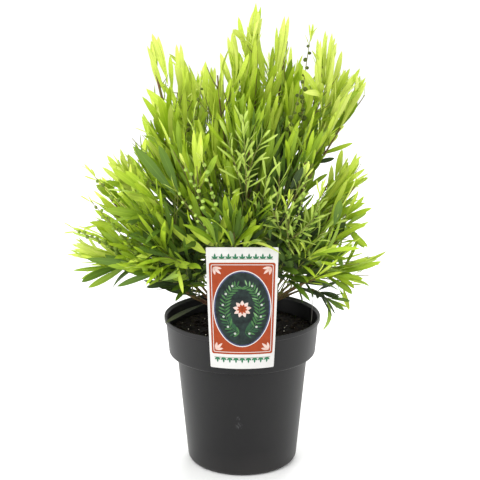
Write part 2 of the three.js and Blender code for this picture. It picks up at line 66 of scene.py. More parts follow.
started = time.perf_counter()
mm = 0.001
fullTurn = 2 * math.pi
goldenAngle = math.radians(137.508)
upward = Vector((0, 0, 1))


def say(text):
    print(f"{time.perf_counter() - started:6.1f} s  {text}")


def lerp(first, second, share):
    return first + (second - first) * share


def clamp(value, least=0, most=1):
    return min(most, max(least, value))


def turnsOf(count):
    return [fullTurn * k / count for k in range(count)]


def stream(seed):
    # a repeatable run of numbers from 0 to 1
    state = seed

    def draw():
        nonlocal state
        state = (state + 0x6D2B79F5) & 0xFFFFFFFF
        t = (state ^ (state >> 15)) * (state | 1) & 0xFFFFFFFF
        t ^= t + ((t ^ (t >> 7)) * (t | 61) & 0xFFFFFFFF) & 0xFFFFFFFF
        return ((t ^ (t >> 14)) & 0xFFFFFFFF) / 4294967296

    return draw


def around(width, random):
    # a draw that lies evenly about nought
    return (random() - 0.5) * width


def varied(width, random):
    return 1 + around(width, random)


def tint(red, green, blue):
    # screen colours from 0 to 255, made linear
    parts = [value / 255 for value in (red, green, blue)]
    return (*[p / 12.92 if p < 0.04045 else ((p + 0.055) / 1.055) ** 2.4 for p in parts], 1)


def feed(tree, node, inputs):
    # a socket is linked, and anything else is set on the node's own socket
    for key, value in inputs.items():
        if isinstance(value, bpy.types.NodeSocket):
            tree.links.new(value, node.inputs[key])
        else:
            node.inputs[key].default_value = value


def makeMaterial(name, finish):
    material = bpy.data.materials.new(name)
    material.use_nodes = True
    tree = material.node_tree
    shader = tree.nodes["Principled BSDF"]
    feed(tree, shader, {"Roughness": finish["rough"], "Specular IOR Level": finish["specular"]})
    return material, tree, shader


def addNode(tree, kind, inputs=None, **settings):
    made = tree.nodes.new(kind)
    for key, value in settings.items():
        setattr(made, key, value)
    feed(tree, made, inputs or {})
    return made


def calculated(tree, operation, *values):
    return addNode(tree, "ShaderNodeMath", dict(enumerate(values)), operation=operation).outputs[0]


def mixed(tree, factor, first, second):
    return addNode(tree, "ShaderNodeMix", {0: factor, 6: first, 7: second}, data_type="RGBA").outputs[2]


def mapped(tree, value, low, high, start=0.0, end=1.0):
    return addNode(tree, "ShaderNodeMapRange", {0: value, 1: low, 2: high, 3: start, 4: end}).outputs[0]


def grain(tree, place, scale, detail, rough=0.55):
    inputs = {"Vector": place, "Scale": scale, "Detail": detail, "Roughness": rough}
    return addNode(tree, "ShaderNodeTexNoise", inputs).outputs[0]


def relief(tree, height, depth):
    return addNode(tree, "ShaderNodeBump", {"Height": height, "Distance": depth * mm}).outputs[0]


def placeOf(tree, stretch=(1, 1, 1)):
    # the piece's own coordinates, in metres
    coords = addNode(tree, "ShaderNodeTexCoord").outputs["Object"]
    return addNode(tree, "ShaderNodeMapping", {"Vector": coords, "Scale": stretch}).outputs[0]


def mottled(name, tints, finish):
    # a finish that wanders between two tints in patches, over a fine relief
    first, second = ([*(part * finish.get("dim", 1) for part in tint(*colour)[:3]), 1] for colour in tints)
    material, tree, shader = makeMaterial(name, finish)
    place = placeOf(tree)
    patches = mapped(tree, grain(tree, place, *finish["patches"]), *finish["edges"])
    bumps = relief(tree, grain(tree, place, *finish["fine"]), finish["depth"])
    feed(tree, shader, {"Base Color": mixed(tree, patches, first, second), "Normal": bumps})
    return material, tree, shader


def linked(name, data):
    made = bpy.data.objects.new(name, data)
    bpy.context.scene.collection.objects.link(made)
    return made


def finished(name, mesh, material, stands):
    # a piece rides on the one body and has a slot, and may stand for nodes
    mesh.materials.clear()
    mesh.materials.append(material)
    piece = linked(name, mesh)
    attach(piece, "root")
    if stands:
        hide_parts(*stands)


def addPiece(name, shape, material, stands=(), across=None, sharp=None):
    # a piece from (points, faces), with each point's place on its leaf where that is given
    mesh = bpy.data.meshes.new(name)
    mesh.from_pydata((np.array([tuple(p) for p in shape[0]], float) * mm).tolist(), [], shape[1])
    if across is not None:
        corners = np.zeros(len(mesh.loops), int)
        mesh.loops.foreach_get("vertex_index", corners)
        mesh.uv_layers.new(name="blade").data.foreach_set("uv", np.asarray(across, np.float32)[corners].ravel())
    mesh.shade_smooth()
    if sharp is not None:
        mesh.set_sharp_from_angle(angle=math.radians(sharp))
    finished(name, mesh, material, stands)


def ringAt(radius, height, segments):
    # points round the pot's axis, or one point on it
    return [(radius * math.cos(t), radius * math.sin(t), height) for t in turnsOf(segments if radius else 1)]


def bridge(low, high):
    # faces between two rings of points, either of which may be a single pole
    count = max(len(low), len(high))
    faces = []
    for k in range(count):
        after = (k + 1) % count
        if len(low) == 1:
            faces.append((low[0], high[after], high[k]))
        elif len(high) == 1:
            faces.append((low[k], low[after], high[0]))
        else:
            faces.append((low[k], low[after], high[after], high[k]))
    return faces


def bridged(rings):
    return [face for low, high in zip(rings, rings[1:]) for face in bridge(low, high)]


def turned(outline, segments):
    # an outline of (radius, height) turned round the pot's axis, closed at its poles
    points, rings = [], []
    for radius, height in outline:
        ring = ringAt(radius, height, segments)
        rings.append(range(len(points), len(points) + len(ring)))
        points += ring
    return points, bridged(rings)


def rounded(corners, steps=5):
    # an outline whose corners are (radius, height, rounding)
    outline = []
    for i, (r, z, rounding) in enumerate(corners):
        here = Vector((r, z))
        if not rounding:
            outline.append((r, z))
            continue
        before = Vector(corners[i - 1][:2]) - here
        after = Vector(corners[i + 1][:2]) - here
        start = here + before.normalized() * min(rounding, before.length * 0.49)
        end = here + after.normalized() * min(rounding, after.length * 0.49)
        for k in range(steps + 1):
            share = k / steps
            outline.append(tuple(start.lerp(here, share).lerp(here.lerp(end, share), share)))
    return outline


def joinShapes(shapes):
    points, faces = [], []
    for somePoints, someFaces in shapes:
        start = len(points)
        points += somePoints
        faces += [[i + start for i in face] for face in someFaces]
    return points, faces


def newTree(name, inputs):
    # a geometry tree with named inputs
    tree = bpy.data.node_groups.new(name, "GeometryNodeTree")
    for label, kind in inputs.items():
        tree.interface.new_socket(label, in_out="INPUT", socket_type="NodeSocket" + kind)
    tree.interface.new_socket("Copies", in_out="OUTPUT", socket_type="NodeSocketGeometry")
    return tree, addNode(tree, "NodeGroupInput").outputs


def spun(tree, least, most, seed):
    # a turn for each copy, drawn between two sets of three turns
    ends = [addNode(tree, "ShaderNodeCombineXYZ", dict(enumerate(turns))).outputs[0] for turns in (least, most)]
    inputs = {0: ends[0], 1: ends[1], "Seed": seed}
    return addNode(tree, "FunctionNodeRandomValue", inputs, data_type="FLOAT_VECTOR").outputs[0]


def setCopies(tree, given, spots, spin, size):
    # copies of one shape on the spots, made real and given their finish
    shape = addNode(tree, "GeometryNodeObjectInfo", {"Object": given["Shape"]}).outputs["Geometry"]
    inputs = {"Points": spots, "Instance": shape, "Rotation": spin, "Scale": size}
    copies = addNode(tree, "GeometryNodeInstanceOnPoints", inputs)
    real = addNode(tree, "GeometryNodeRealizeInstances", {"Geometry": copies.outputs[0]})
    done = addNode(tree, "GeometryNodeSetMaterial", {"Geometry": real.outputs[0], "Material": given["Finish"]})
    addNode(tree, "NodeGroupOutput", {0: done.outputs[0]})


def hostOf(name, points, faces):
    # an object that a tree runs on
    mesh = bpy.data.meshes.new(name)
    mesh.from_pydata([Vector(p) * mm for p in points], [], faces)
    return linked(name, mesh)


def lumpOf(name, shape):
    # an object to copy, from a mesh that is still being edited
    mesh = bpy.data.meshes.new(name)
    shape.to_mesh(mesh)
    shape.free()
    return linked(name, mesh)


def grownPiece(name, host, tree, inputs, stands=()):
    # runs a tree on a host and keeps its result as a plain mesh
    modifier = host.modifiers.new("grow", "NODES")
    modifier.node_group = tree
    for socket in tree.interface.items_tree:
        if socket.in_out == "INPUT" and socket.name in inputs:
            modifier[socket.identifier] = inputs[socket.name]
    bpy.context.view_layer.update()
    mesh = bpy.data.meshes.new_from_object(host.evaluated_get(bpy.context.evaluated_depsgraph_get()))
    host.modifiers.remove(modifier)
    mesh.name = name
    finished(name, mesh, inputs["Finish"], stands)


# the pot, turned from an outline
potShape = {
    "segments": 192, "sharp": 50,
    # radius, height and rounding of each corner, from the middle of the base out, up and back down inside
    "corners": [
        (0, 1.2, 0), (54, 1.2, 0.8), (56, 0, 0.8), (70.4, 0, 7), (84.2, 145, 0.8), (94, 145, 3.2),
        (97.8, 187.6, 0.6), (100, 188.4, 0.8), (100, 194, 0.8), (98.8, 194, 0.5), (96, 191.2, 1.2),
        (95.8, 187, 1.5), (92, 147, 1.5), (82.2, 143, 1.5), (69, 8, 4), (63, 3, 2), (0, 3, 0),
    ],
    "dark": (19, 19, 20), "light": (26, 25, 26), "rough": 0.36, "roughest": 0.48, "specular": 0.27,
    "dust": (60, 58, 56), "dustMost": 0.35, "dustTop": 0.05,
    # place and size of each scuff, in metres, and how they look
    "scuffs": [((-0.005, -0.077, 0.082), 0.0035), ((-0.004, -0.076, 0.072), 0.0055)],
    "scuff": (98, 98, 100), "scuffMost": 0.5,
}


def potPlastic():
    # charcoal plastic, cloudy, dusty at its foot and scuffed in two places
    shape = potShape
    material, tree, shader = makeMaterial("charcoalPlastic", shape)
    place = placeOf(tree)
    cloudy = grain(tree, place, 9, 4)
    height = addNode(tree, "ShaderNodeSeparateXYZ", {0: place}).outputs[2]
    dusty = calculated(tree, "MULTIPLY", mapped(tree, height, shape["dustTop"], 0.0), cloudy)
    base = mixed(tree, mapped(tree, cloudy, 0.3, 0.7), tint(*shape["dark"]), tint(*shape["light"]))
    base = mixed(tree, mapped(tree, dusty, 0.2, 0.7, 0, shape["dustMost"]), base, tint(*shape["dust"]))
    streak = mapped(tree, grain(tree, placeOf(tree, (1, 1, 0.35)), 700, 2), 0.5, 0.62)
    for centre, size in shape["scuffs"]:
        away = addNode(tree, "ShaderNodeVectorMath", {0: place, 1: centre}, operation="DISTANCE").outputs[1]
        scuffed = calculated(tree, "MULTIPLY", mapped(tree, away, size, size * 0.2), streak)
        base = mixed(tree, mapped(tree, scuffed, 0, 1, 0, shape["scuffMost"]), base, tint(*shape["scuff"]))
    worn = mapped(tree, cloudy, 0.25, 0.75, shape["rough"], shape["roughest"])
    feed(tree, shader, {"Base Color": base, "Roughness": worn,
                        "Normal": relief(tree, grain(tree, place, 900, 2), 0.03)})
    return material


addPiece("potShell", turned(rounded(potShape["corners"]), potShape["segments"]), potPlastic(), ["pot"],
         sharp=potShape["sharp"])
say("pot")

# the potting mix, with bark chips and perlite strewn over it
mixShape = {
    "top": 172, "mound": 2.5, "moundRadius": 64, "levelRadius": 14, "rim": 93.4, "rings": 56, "segments": 150,
    "lumps": 1.9, "lumpSize": 11, "crumbs": 0.9, "crumbSize": 3.4, "trunkReach": 26,
    "hidden": [(90.6, 149), (81.2, 142), (68, 10), (60, 4), (0, 4)],  # down its side and under
    "strewnFrom": 12, "strewnTo": 89.4, "anyTurn": 6.283, "uneven": 0.5, "unevenScale": 1.3,
}
lumpTable = [
    # name, how many, half sizes, seed, smallest, largest, tilt, finish, its tints, their scale, roughness
    ("barkChips", 520, (3.4, 2.0, 0.8), 11, 0.45, 1.7, 0.5, "wetBark", (12, 10, 8), (40, 30, 23), 220, 0.85),
    ("perliteGrains", 46, (0.85, 0.75, 0.6), 29, 0.5, 1.5, 3.1,
     "perlite", (178, 172, 160), (226, 222, 212), 600, 0.9),
]


def mixHeight(x, y):
    shape, radius, place = mixShape, math.hypot(x, y), Vector((x, y, 0))
    rise = clamp((radius - shape["levelRadius"]) / (shape["moundRadius"] - shape["levelRadius"]))
    if radius > shape["moundRadius"]:
        rise = (shape["rim"] - radius) / (shape["rim"] - shape["moundRadius"])
    lump = noise.noise(place / shape["lumpSize"]) * shape["lumps"]
    lump += noise.noise(place / shape["crumbSize"]) * shape["crumbs"]
    return shape["top"] + shape["mound"] * rise + lump * min(1, radius / shape["trunkReach"])


def mixTop():
    rings = mixShape["rings"]
    points, faces = turned([(mixShape["rim"] * i / rings, 0) for i in range(rings + 1)], mixShape["segments"])
    return [(x, y, mixHeight(x, y)) for x, y, _ in points], [face[::-1] for face in faces]


def mixBody(points, faces):
    # the top with its side and underside, which are out of sight in the pot
    segments = mixShape["segments"]
    points, rings = list(points), [range(len(points) - segments, len(points))]
    for radius, height in mixShape["hidden"]:
        ring = ringAt(radius, height, segments)
        rings.append(range(len(points), len(points) + len(ring)))
        points += ring
    return points, faces + bridged(rings[::-1])


def crumb(name, size, seed):
    # a rough lump, about twice its given half sizes across
    shape = bmesh.new()
    bmesh.ops.create_icosphere(shape, subdivisions=2, radius=1)
    for vertex in shape.verts:
        spot = vertex.co * mixShape["unevenScale"] + Vector((seed, 0, 0))
        push = 1 + mixShape["uneven"] * noise.noise(spot)
        vertex.co = Vector([vertex.co[i] * size[i] * push * mm for i in range(3)])
    return lumpOf(name, shape)


def scatterTree():
    # lays a number of turned copies of one lump over a surface
    tree, given = newTree("scatterLumps", {
        "Surface": "Geometry", "Shape": "Object", "Density": "Float", "Seed": "Int", "Smallest": "Float",
        "Largest": "Float", "Tilt": "Float", "Turn": "Float", "Finish": "Material"})
    spots = addNode(tree, "GeometryNodeDistributePointsOnFaces",
                    {"Mesh": given["Surface"], "Density": given["Density"], "Seed": given["Seed"]})
    tilt, lean = given["Tilt"], calculated(tree, "MULTIPLY", given["Tilt"], -1.0)
    spin = spun(tree, (lean, lean, 0.0), (tilt, tilt, given["Turn"]), 3)
    size = addNode(tree, "FunctionNodeRandomValue", {2: given["Smallest"], 3: given["Largest"], "Seed": 5},
                   data_type="FLOAT")
    setCopies(tree, given, spots.outputs["Points"], spin, size.outputs[1])
    return tree


def earth(name, dark, light, scale, rough):
    finish = {"patches": (scale, 4, 0.65), "edges": (0.35, 0.68), "fine": (scale * 6, 3), "depth": 0.5,
              "rough": rough, "specular": 0.1}
    return mottled(name, (dark, light), finish)[0]


topPoints, topFaces = mixTop()
peat = earth("darkPeat", (9, 8, 7), (24, 19, 15), 160, 0.95)
addPiece("mixBed", mixBody(topPoints, topFaces), peat, ["potting_mix"])

start, end = mixShape["strewnFrom"], mixShape["strewnTo"]
strewn = {i for i, p in enumerate(topPoints) if start < math.hypot(p[0], p[1]) < end}
host = hostOf("scatterBed", topPoints, [face for face in topFaces if strewn.issuperset(face)])
bedArea = math.pi * (end ** 2 - start ** 2) * mm * mm
scatter = scatterTree()
for name, count, size, seed, smallest, largest, tilt, *finish in lumpTable:
    lump = crumb(name + "Lump", size, seed)
    inputs = {"Shape": lump, "Density": count / bedArea, "Seed": seed, "Smallest": smallest, "Largest": largest,
              "Tilt": tilt, "Turn": mixShape["anyTurn"], "Finish": earth(*finish)}
    grownPiece(name, host, scatter, inputs)
    bpy.data.objects.remove(lump)
bpy.data.objects.remove(host)
say("potting mix")

# the picture label, hooked over the pot's lip
labelShape = {
    "topWidth": 86, "footWidth": 79, "foot": 155.5, "top": 311.5, "thickness": 1, "standoff": 0.65,
    "lean": 4.2, "footBend": 98, "bendTop": 0.75, "bendFade": 1.5, "lipRadius": 100, "lipLine": 191,
    "hookWidth": 24, "hookDepth": 14, "hookInside": 92.05, "hookSeat": 194.3,
    "corner": 0.016, "rough": 0.36, "ink": 0.12, "sharp": 35, "columns": 24, "rows": 40,
}
cardRatio = 0.53  # the card is nearly twice as tall as it is wide, so round shapes are flattened by this


def cardPoint(across, up, depth):
    # across the card from -1 to 1, up it from 0 to 1, and some depth behind its face
    shape = labelShape
    half = lerp(shape["footWidth"], shape["topWidth"], up) / 2
    height = lerp(shape["foot"], shape["top"], up)
    bend = max(1e-3, 1 - up / shape["bendTop"]) ** shape["bendFade"]
    bendRadius = shape["footBend"] / bend
    turn = half * across / bendRadius
    reach = shape["lipRadius"] + shape["standoff"] + shape["thickness"]
    forward = (height - shape["lipLine"]) * math.tan(math.radians(shape["lean"]))
    sag = bendRadius * (1 - math.cos(turn))
    return Vector((bendRadius * math.sin(turn), -(reach + forward) + sag + depth, height))


def cutOut(outline, front, back):
    # a thin plate on the card's face, from an outline in (across 0 to 1, down 0 to 1)
    shape = bmesh.new()
    shape.faces.new([shape.verts.new((u, v, 0)) for u, v in outline])
    for axis, step in ((0, 1 / labelShape["columns"]), (1, 1 / labelShape["rows"])):
        low, high = min(p[axis] for p in outline), max(p[axis] for p in outline)
        for k in range(math.floor(low / step) + 1, math.ceil(high / step)):
            place, normal = [0, 0, 0], [0, 0, 0]
            place[axis], normal[axis] = k * step, 1
            whole = shape.verts[:] + shape.edges[:] + shape.faces[:]
            bmesh.ops.bisect_plane(shape, geom=whole, plane_co=place, plane_no=normal, dist=1e-7)
    bmesh.ops.triangulate(shape, faces=[f for f in shape.faces if len(f.verts) > 4])
    shape.normal_update()
    flipped = sum(f.normal.z * f.calc_area() for f in shape.faces) > 0
    shape.verts.index_update()
    flat = [(v.co.x, v.co.y) for v in shape.verts]
    faces = [[v.index for v in (reversed(f.verts) if flipped else f.verts)] for f in shape.faces]
    border = [(e.link_loops[0].vert.index, e.link_loops[0].link_loop_next.vert.index)
              for e in shape.edges if len(e.link_faces) == 1]
    shape.free()
    count = len(flat)
    points = [cardPoint(2 * u - 1, 1 - v, depth) for depth in (front, back) for u, v in flat]
    sides = [(a, b, b + count, a + count) if flipped else (b, a, a + count, b + count) for a, b in border]
    backs = [[i + count for i in reversed(face)] for face in faces]
    return points, faces + backs + sides


def softBox(u0, v0, u1, v1, corner=0.02, steps=5):
    # a rectangle with rounded corners
    tall = corner * cardRatio
    outline = []
    for cu, cv, start in ((u1 - corner, v0 + tall, -90), (u1 - corner, v1 - tall, 0),
                          (u0 + corner, v1 - tall, 90), (u0 + corner, v0 + tall, 180)):
        for k in range(steps + 1):
            turn = math.radians(start + 90 * k / steps)
            outline.append((cu + corner * math.cos(turn), cv + tall * math.sin(turn)))
    return outline


def oval(u, v, wide, tall=None, steps=22):
    # round where no height is given
    tall = tall or cardRatio * wide
    return [(u + wide * math.cos(t), v + tall * math.sin(t)) for t in turnsOf(steps)]


def bladeOutline(u, v, length, width, lean, steps=7):
    # a lance-shaped leaf standing on a point and leaning by an angle
    side = [(width * math.sin(math.pi * k / steps) ** 0.8, k / steps) for k in range(steps + 1)]
    outline = []
    for w, t in [(-w, t) for w, t in side] + side[-2:0:-1]:
        x = w * math.cos(lean) + t * length * math.sin(lean)
        y = t * length * math.cos(lean) - w * math.sin(lean)
        outline.append((u + x, v - cardRatio * y))
    return outline[::-1]


inkFinish = {"patches": (160, 3), "edges": (0.3, 0.7), "fine": (1400, 2), "depth": 0.01, "rough": 0.32,
             "specular": 0.2, "dim": 0.68}
inks = {
    "card": ((243, 242, 238), (247, 246, 243)), "orange": ((172, 68, 26), (182, 76, 34)),
    "white": ((244, 243, 239), (248, 247, 244)), "blush": ((240, 196, 178), (250, 232, 224)),
    "rose": ((240, 206, 190), (250, 232, 224)), "violet": ((52, 54, 92), (92, 96, 136)),
    "night": ((20, 30, 30), (44, 62, 58)), "deepGreen": ((40, 84, 54), (58, 104, 68)),
    "green": ((62, 112, 62), (88, 140, 80)), "paleGreen": ((116, 164, 104), (150, 194, 138)),
    "silver": ((196, 206, 196), (222, 226, 214)), "seaGreen": ((58, 126, 90), (66, 138, 100)),
    "stone": ((170, 168, 156), (190, 186, 172)),
}


def inked(name, ink, rough=inkFinish["rough"]):
    material, tree, shader = mottled(name, inks[ink], inkFinish)
    worn = grain(tree, placeOf(tree), 25, 2)
    feed(tree, shader, {"Roughness": mapped(tree, worn, 0.3, 0.7, rough, rough + 0.1)})
    return material


printShape = {
    # a packet design: a framed field with a wreath round a rosette in an oval, between two rows of sprouts
    "middle": (0.5, 0.5), "ovals": [(0.424, 0.315), (0.411, 0.308), (0.392, 0.298)],
    # margin, half height and corner of each box
    "fieldBoxes": [(0.035, 0.378, 0.03), (0.062, 0.363, 0.024), (0.071, 0.358, 0.02)],
    "ring": (0.25, 0.2), "ringFrom": 10, "ringTo": 164, "ringLeaves": 19, "leafLength": 0.125,
    "leafWidth": 0.015, "leafAngle": 52, "leafVariety": 0.3, "topSmaller": 0.25, "stalk": 0.003,
    "stalkSteps": 30, "berry": 0.017, "berryEvery": 3, "berryPlace": (0.06, 0.035),
    # count, length, width and turn of the rosette's leaves; short and long lengths, width and spread of a fan's
    "petals": (9, 0.135, 0.03, 0), "innerPetals": (9, 0.081, 0.018, 0.5), "heart": 0.03,
    "corner": (0.405, 0.342), "cornerLeaves": (0.12, 0.15, 0.02, 0.6),
    "sprouts": 9, "sproutsFrom": 0.12, "sproutLeaves": (0.06, 0.085, 0.014, 0.8),
    "rules": (0.093, 0.907), "ruleFrom": 0.07, "ruleHalf": 0.0035,
}


def ringPlace(turn, side, out=0.0):
    # a point on the wreath's ring, by its turn from the ring's foot up one side
    (u, v), (wide, tall) = printShape["middle"], printShape["ring"]
    return u + side * (wide + out) * math.sin(turn), v + (tall + cardRatio * out) * math.cos(turn)


def wreath(random):
    # two leafy branches from the ring's foot up to its top, their leaves dealt to three greens
    shape = printShape
    greens, stalks, berries = ([], [], []), [], []
    start, end = math.radians(shape["ringFrom"]), math.radians(shape["ringTo"])
    (wide, tall), variety, half = shape["ring"], shape["leafVariety"], shape["stalk"]
    late, out = shape["berryPlace"]
    for side in (-1, 1):
        turns = [lerp(start, end, k / shape["stalkSteps"]) for k in range(shape["stalkSteps"] + 1)]
        stalk = [ringPlace(t, side, half) for t in turns] + [ringPlace(t, side, -half) for t in reversed(turns)]
        stalks.append(stalk[::side])
        for j in range(shape["ringLeaves"]):
            share = j / (shape["ringLeaves"] - 1)
            turn = lerp(start, end, share)
            u, v = ringPlace(turn, side)
            heading = side * math.atan2(wide * math.cos(turn), tall / cardRatio * math.sin(turn))
            size = 1.0 - shape["topSmaller"] * share
            for away in (-1, 1):
                lean = heading + away * math.radians(shape["leafAngle"]) * varied(variety, random)
                reach = shape["leafLength"] * size * varied(variety, random)
                leaf = bladeOutline(u, v, reach, shape["leafWidth"] * size, lean, 5)
                greens[min(2, int(3 * (0.5 * share + 0.5 * random())))].append(leaf)
            if j % shape["berryEvery"] == 1:
                berries.append(oval(*ringPlace(turn + late, side, out), shape["berry"], steps=12))
    return greens, stalks, berries


def fan(u, v, leaves, heading):
    # three leaves from one point, the middle one the longest
    short, long, width, angle = leaves
    return [bladeOutline(u, v, length, width, heading + lean)
            for lean, length in ((-angle, short), (0, long), (angle, short))]


def rosette(count, length, width, offset):
    return [bladeOutline(*printShape["middle"], length, width, fullTurn * (k + offset) / count)
            for k in range(count)]


def labelPlates():
    # each ink's own plates, with how far they stand off the card
    shape = printShape
    (u, v), (across, down) = shape["middle"], shape["corner"]
    left, last = shape["sproutsFrom"], shape["sprouts"] - 1
    (deep, middle, fresh), stalks, berries = wreath(stream(77))
    corners = [leaf for x in (-1, 1) for y in (-1, 1)
               for leaf in fan(u + x * across, v + y * down, shape["cornerLeaves"], math.atan2(-x, y))]
    row = [leaf for height, turn in zip(shape["rules"], (0, math.pi)) for k in range(last + 1)
           for leaf in fan(lerp(left, 1 - left, k / last), height, shape["sproutLeaves"], turn)]
    start, thick = shape["ruleFrom"], shape["ruleHalf"]
    rules = [softBox(start, height - thick, 1 - start, height + thick, 0.003, 2) for height in shape["rules"]]
    field, frame, within = [[softBox(side, v - half, 1 - side, v + half, corner)]
                            for side, half, corner in shape["fieldBoxes"]]
    rim, band, ground = [[oval(u, v, *size, 60)] for size in shape["ovals"]]
    return [
        ("labelField", "orange", 0.06, field), ("labelFrame", "white", 0.08, frame),
        ("labelInner", "orange", 0.10, within), ("labelCorners", "blush", 0.12, corners),
        ("labelRim", "white", 0.12, rim), ("labelBand", "violet", 0.14, band),
        ("labelGround", "night", 0.16, ground), ("labelDeep", "deepGreen", 0.18, deep),
        ("labelLeaves", "green", 0.20, middle + stalks), ("labelTips", "paleGreen", 0.22, fresh),
        ("labelBerries", "silver", 0.24, berries), ("labelPetals", "rose", 0.20, rosette(*shape["petals"])),
        ("labelHeart", "orange", 0.22, rosette(*shape["innerPetals"]) + [oval(u, v, shape["heart"])]),
        ("labelRow", "seaGreen", 0.10, row), ("labelRules", "stone", 0.10, rules),
    ]


def hookStrip():
    # the strip that folds from the card's back over the lip and down inside it
    shape = labelShape
    half, thick, seat = shape["hookWidth"] / 2, shape["thickness"], shape["hookSeat"]
    share = (seat - shape["foot"]) / (shape["top"] - shape["foot"])
    outer, inner = cardPoint(0, share, thick / 2).y, -shape["hookInside"]
    foot = seat - shape["hookDepth"]
    outline = rounded([(outer, seat, 0), (inner + thick, seat, 0.2), (inner + thick, foot, 0), (inner, foot, 0),
                       (inner, seat + thick, 1.0), (outer, seat + thick, 0), (outer, seat, 0)])[:-1]
    count = len(outline)
    points = [(x, y, z) for x in (-half, half) for y, z in outline]
    faces = [tuple(range(count)), tuple(range(2 * count - 1, count - 1, -1))]
    faces += [(k, k + count, (k + 1) % count + count, (k + 1) % count) for k in range(count)]
    return points, faces


card = cutOut(softBox(0, 0, 1, 1, labelShape["corner"], 4), 0, labelShape["thickness"])
cardStock = inked("whiteCard", "card", labelShape["rough"])
addPiece("labelCard", joinShapes([card, hookStrip()]), cardStock, ["plant_label"],
         sharp=labelShape["sharp"])
for name, ink, proud, outlines in labelPlates():
    plates = joinShapes([cutOut(outline, -proud, labelShape["ink"] - proud) for outline in outlines])
    addPiece(name, plates, inked(name + "Ink", ink), sharp=labelShape["sharp"])
say("label")

# the plant: its limbs, their leading shoots and the side shoots of those
trunkShape = {
    "foot": 8.5, "waist": 6.2, "crown": 5.4, "flare": 9, "height": 27, "lean": 2.5, "setBack": 6,
    "base": 172.3, "sides": 26, "steps": 22, "ridges": 0.16, "grainLength": 9, "seed": 4.0,
}
limbShape = {
    "stemRadius": 3, "boughRadius": 1.9, "thinning": 0.62, "parentPull": 0.35, "stemRise": 0.3,
    "handle": 0.33, "stemBare": 0.28, "boughBare": 0.18, "tuft": 46, "leaderSteps": 36,
    "sides": 12, "stepLength": 2.5, "ridges": 0.13, "grainLength": 12, "seedStep": 7.0,
}
crownShape = {
    "levelHeight": 250, "uprightness": 2, "middle": Vector((0, 0, 290)), "floor": 222, "core": 64,
    "spread": 12, "reach": 4, "overlap": 9,
}
limbTable = [
    # name, what it leaves, how far up that one's bare length, where its crown's tip stands
    ("top_centre", "trunk", 0.97, (19, 2, 584)), ("top_left", "trunk", 0.85, (-114, -4, 551)),
    ("top_right", "trunk", 0.9, (106, 0, 556)), ("back_left", "trunk", 0.8, (-72, 108, 510)),
    ("back_right", "trunk", 0.75, (68, 112, 518)), ("front", "trunk", 0.65, (8, -94, 474)),
    ("low_left", "trunk", 0.5, (-220, -6, 282)), ("low_right", "trunk", 0.55, (180, -4, 268)),
    ("inner_right", "top_centre", 0.6, (56, 30, 566)), ("inner_left", "top_centre", 0.42, (-32, -34, 550)),
    ("shoulder_right", "top_right", 0.6, (149, 4, 508)), ("shoulder_left", "top_left", 0.6, (-126, 30, 474)),
    ("outer_left", "top_left", 0.3, (-194, -8, 388)), ("outer_right", "top_right", 0.3, (162, -6, 404)),
    ("front_left", "front", 0.4, (-78, -98, 452)), ("front_right", "front", 0.6, (84, -92, 452)),
    ("front_low", "front", 0.25, (-12, -142, 372)), ("back_middle", "back_right", 0.5, (0, 162, 430)),
    ("back_outer_left", "back_left", 0.35, (-142, 108, 392)),
    ("back_outer_right", "back_right", 0.3, (136, 112, 390)),
    ("side_front_left", "low_left", 0.5, (-140, -92, 374)),
    ("side_front_right", "low_right", 0.7, (138, -92, 352)),
    ("low_front_left", "low_left", 0.75, (-158, -96, 286)),
    ("low_front_right", "low_right", 0.5, (116, -128, 286)),
    ("low_back_left", "low_left", 0.4, (-140, 124, 284)),
    ("low_back_right", "low_right", 0.35, (134, 126, 280)),
    ("low_back", "trunk", 0.4, (-6, 184, 292)), ("drooping", "low_right", 0.9, (112, -38, 184)),
]
hanging = {"drooping": 2.5}  # how much more steeply than the rest an end hangs
drawnIn = {"shoulder_right": 9}  # how far the middle of a leading shoot is drawn in


def bezier(*handles):
    def bend(t):
        places = list(handles)
        while len(places) > 1:
            places = [a.lerp(b, t) for a, b in zip(places, places[1:])]
        return places[0]
    return bend


def evenPath(bend, count=48, samples=120):
    # a curve's points at equal steps along it, and its length
    fine = [bend(i / samples) for i in range(samples + 1)]
    runs = [0.0]
    for a, b in zip(fine, fine[1:]):
        runs.append(runs[-1] + (b - a).length)
    path, step = [], 0
    for i in range(count + 1):
        goal = runs[-1] * i / count
        while step < samples - 1 and runs[step + 1] < goal:
            step += 1
        share = (goal - runs[step]) / max(runs[step + 1] - runs[step], 1e-9)
        path.append(fine[step].lerp(fine[step + 1], min(1, share)))
    return path, runs[-1]


def pointAt(path, share):
    place = clamp(share) * (len(path) - 1)
    step = min(int(place), len(path) - 2)
    return path[step].lerp(path[step + 1], place - step)


def headingAt(path, share):
    step = min(int(clamp(share) * (len(path) - 1)), len(path) - 2)
    return (path[step + 1] - path[step]).normalized()


def stretch(path, start, end, count):
    return [pointAt(path, lerp(start, end, i / count)) for i in range(count + 1)]


def leaning(heading, angle, bearing):
    # a direction that leans off a heading by an angle, towards a bearing round it
    reference = upward if abs(heading.z) < 0.9 else Vector((0, 1, 0))
    u = reference.cross(heading).normalized()
    side = u * math.cos(bearing) + heading.cross(u) * math.sin(bearing)
    return (heading * math.cos(angle) + side * math.sin(angle)).normalized()


def endingAt(place, hang=1):
    # outward low in the crown and upright at its top
    rise = hang * crownShape["uprightness"] * (place.z - crownShape["levelHeight"])
    return Vector((place.x, place.y, rise)).normalized()


trunkFoot = Vector((0, trunkShape["setBack"], trunkShape["base"]))
trunkTop = trunkFoot + Vector((-trunkShape["lean"], 0, trunkShape["height"]))


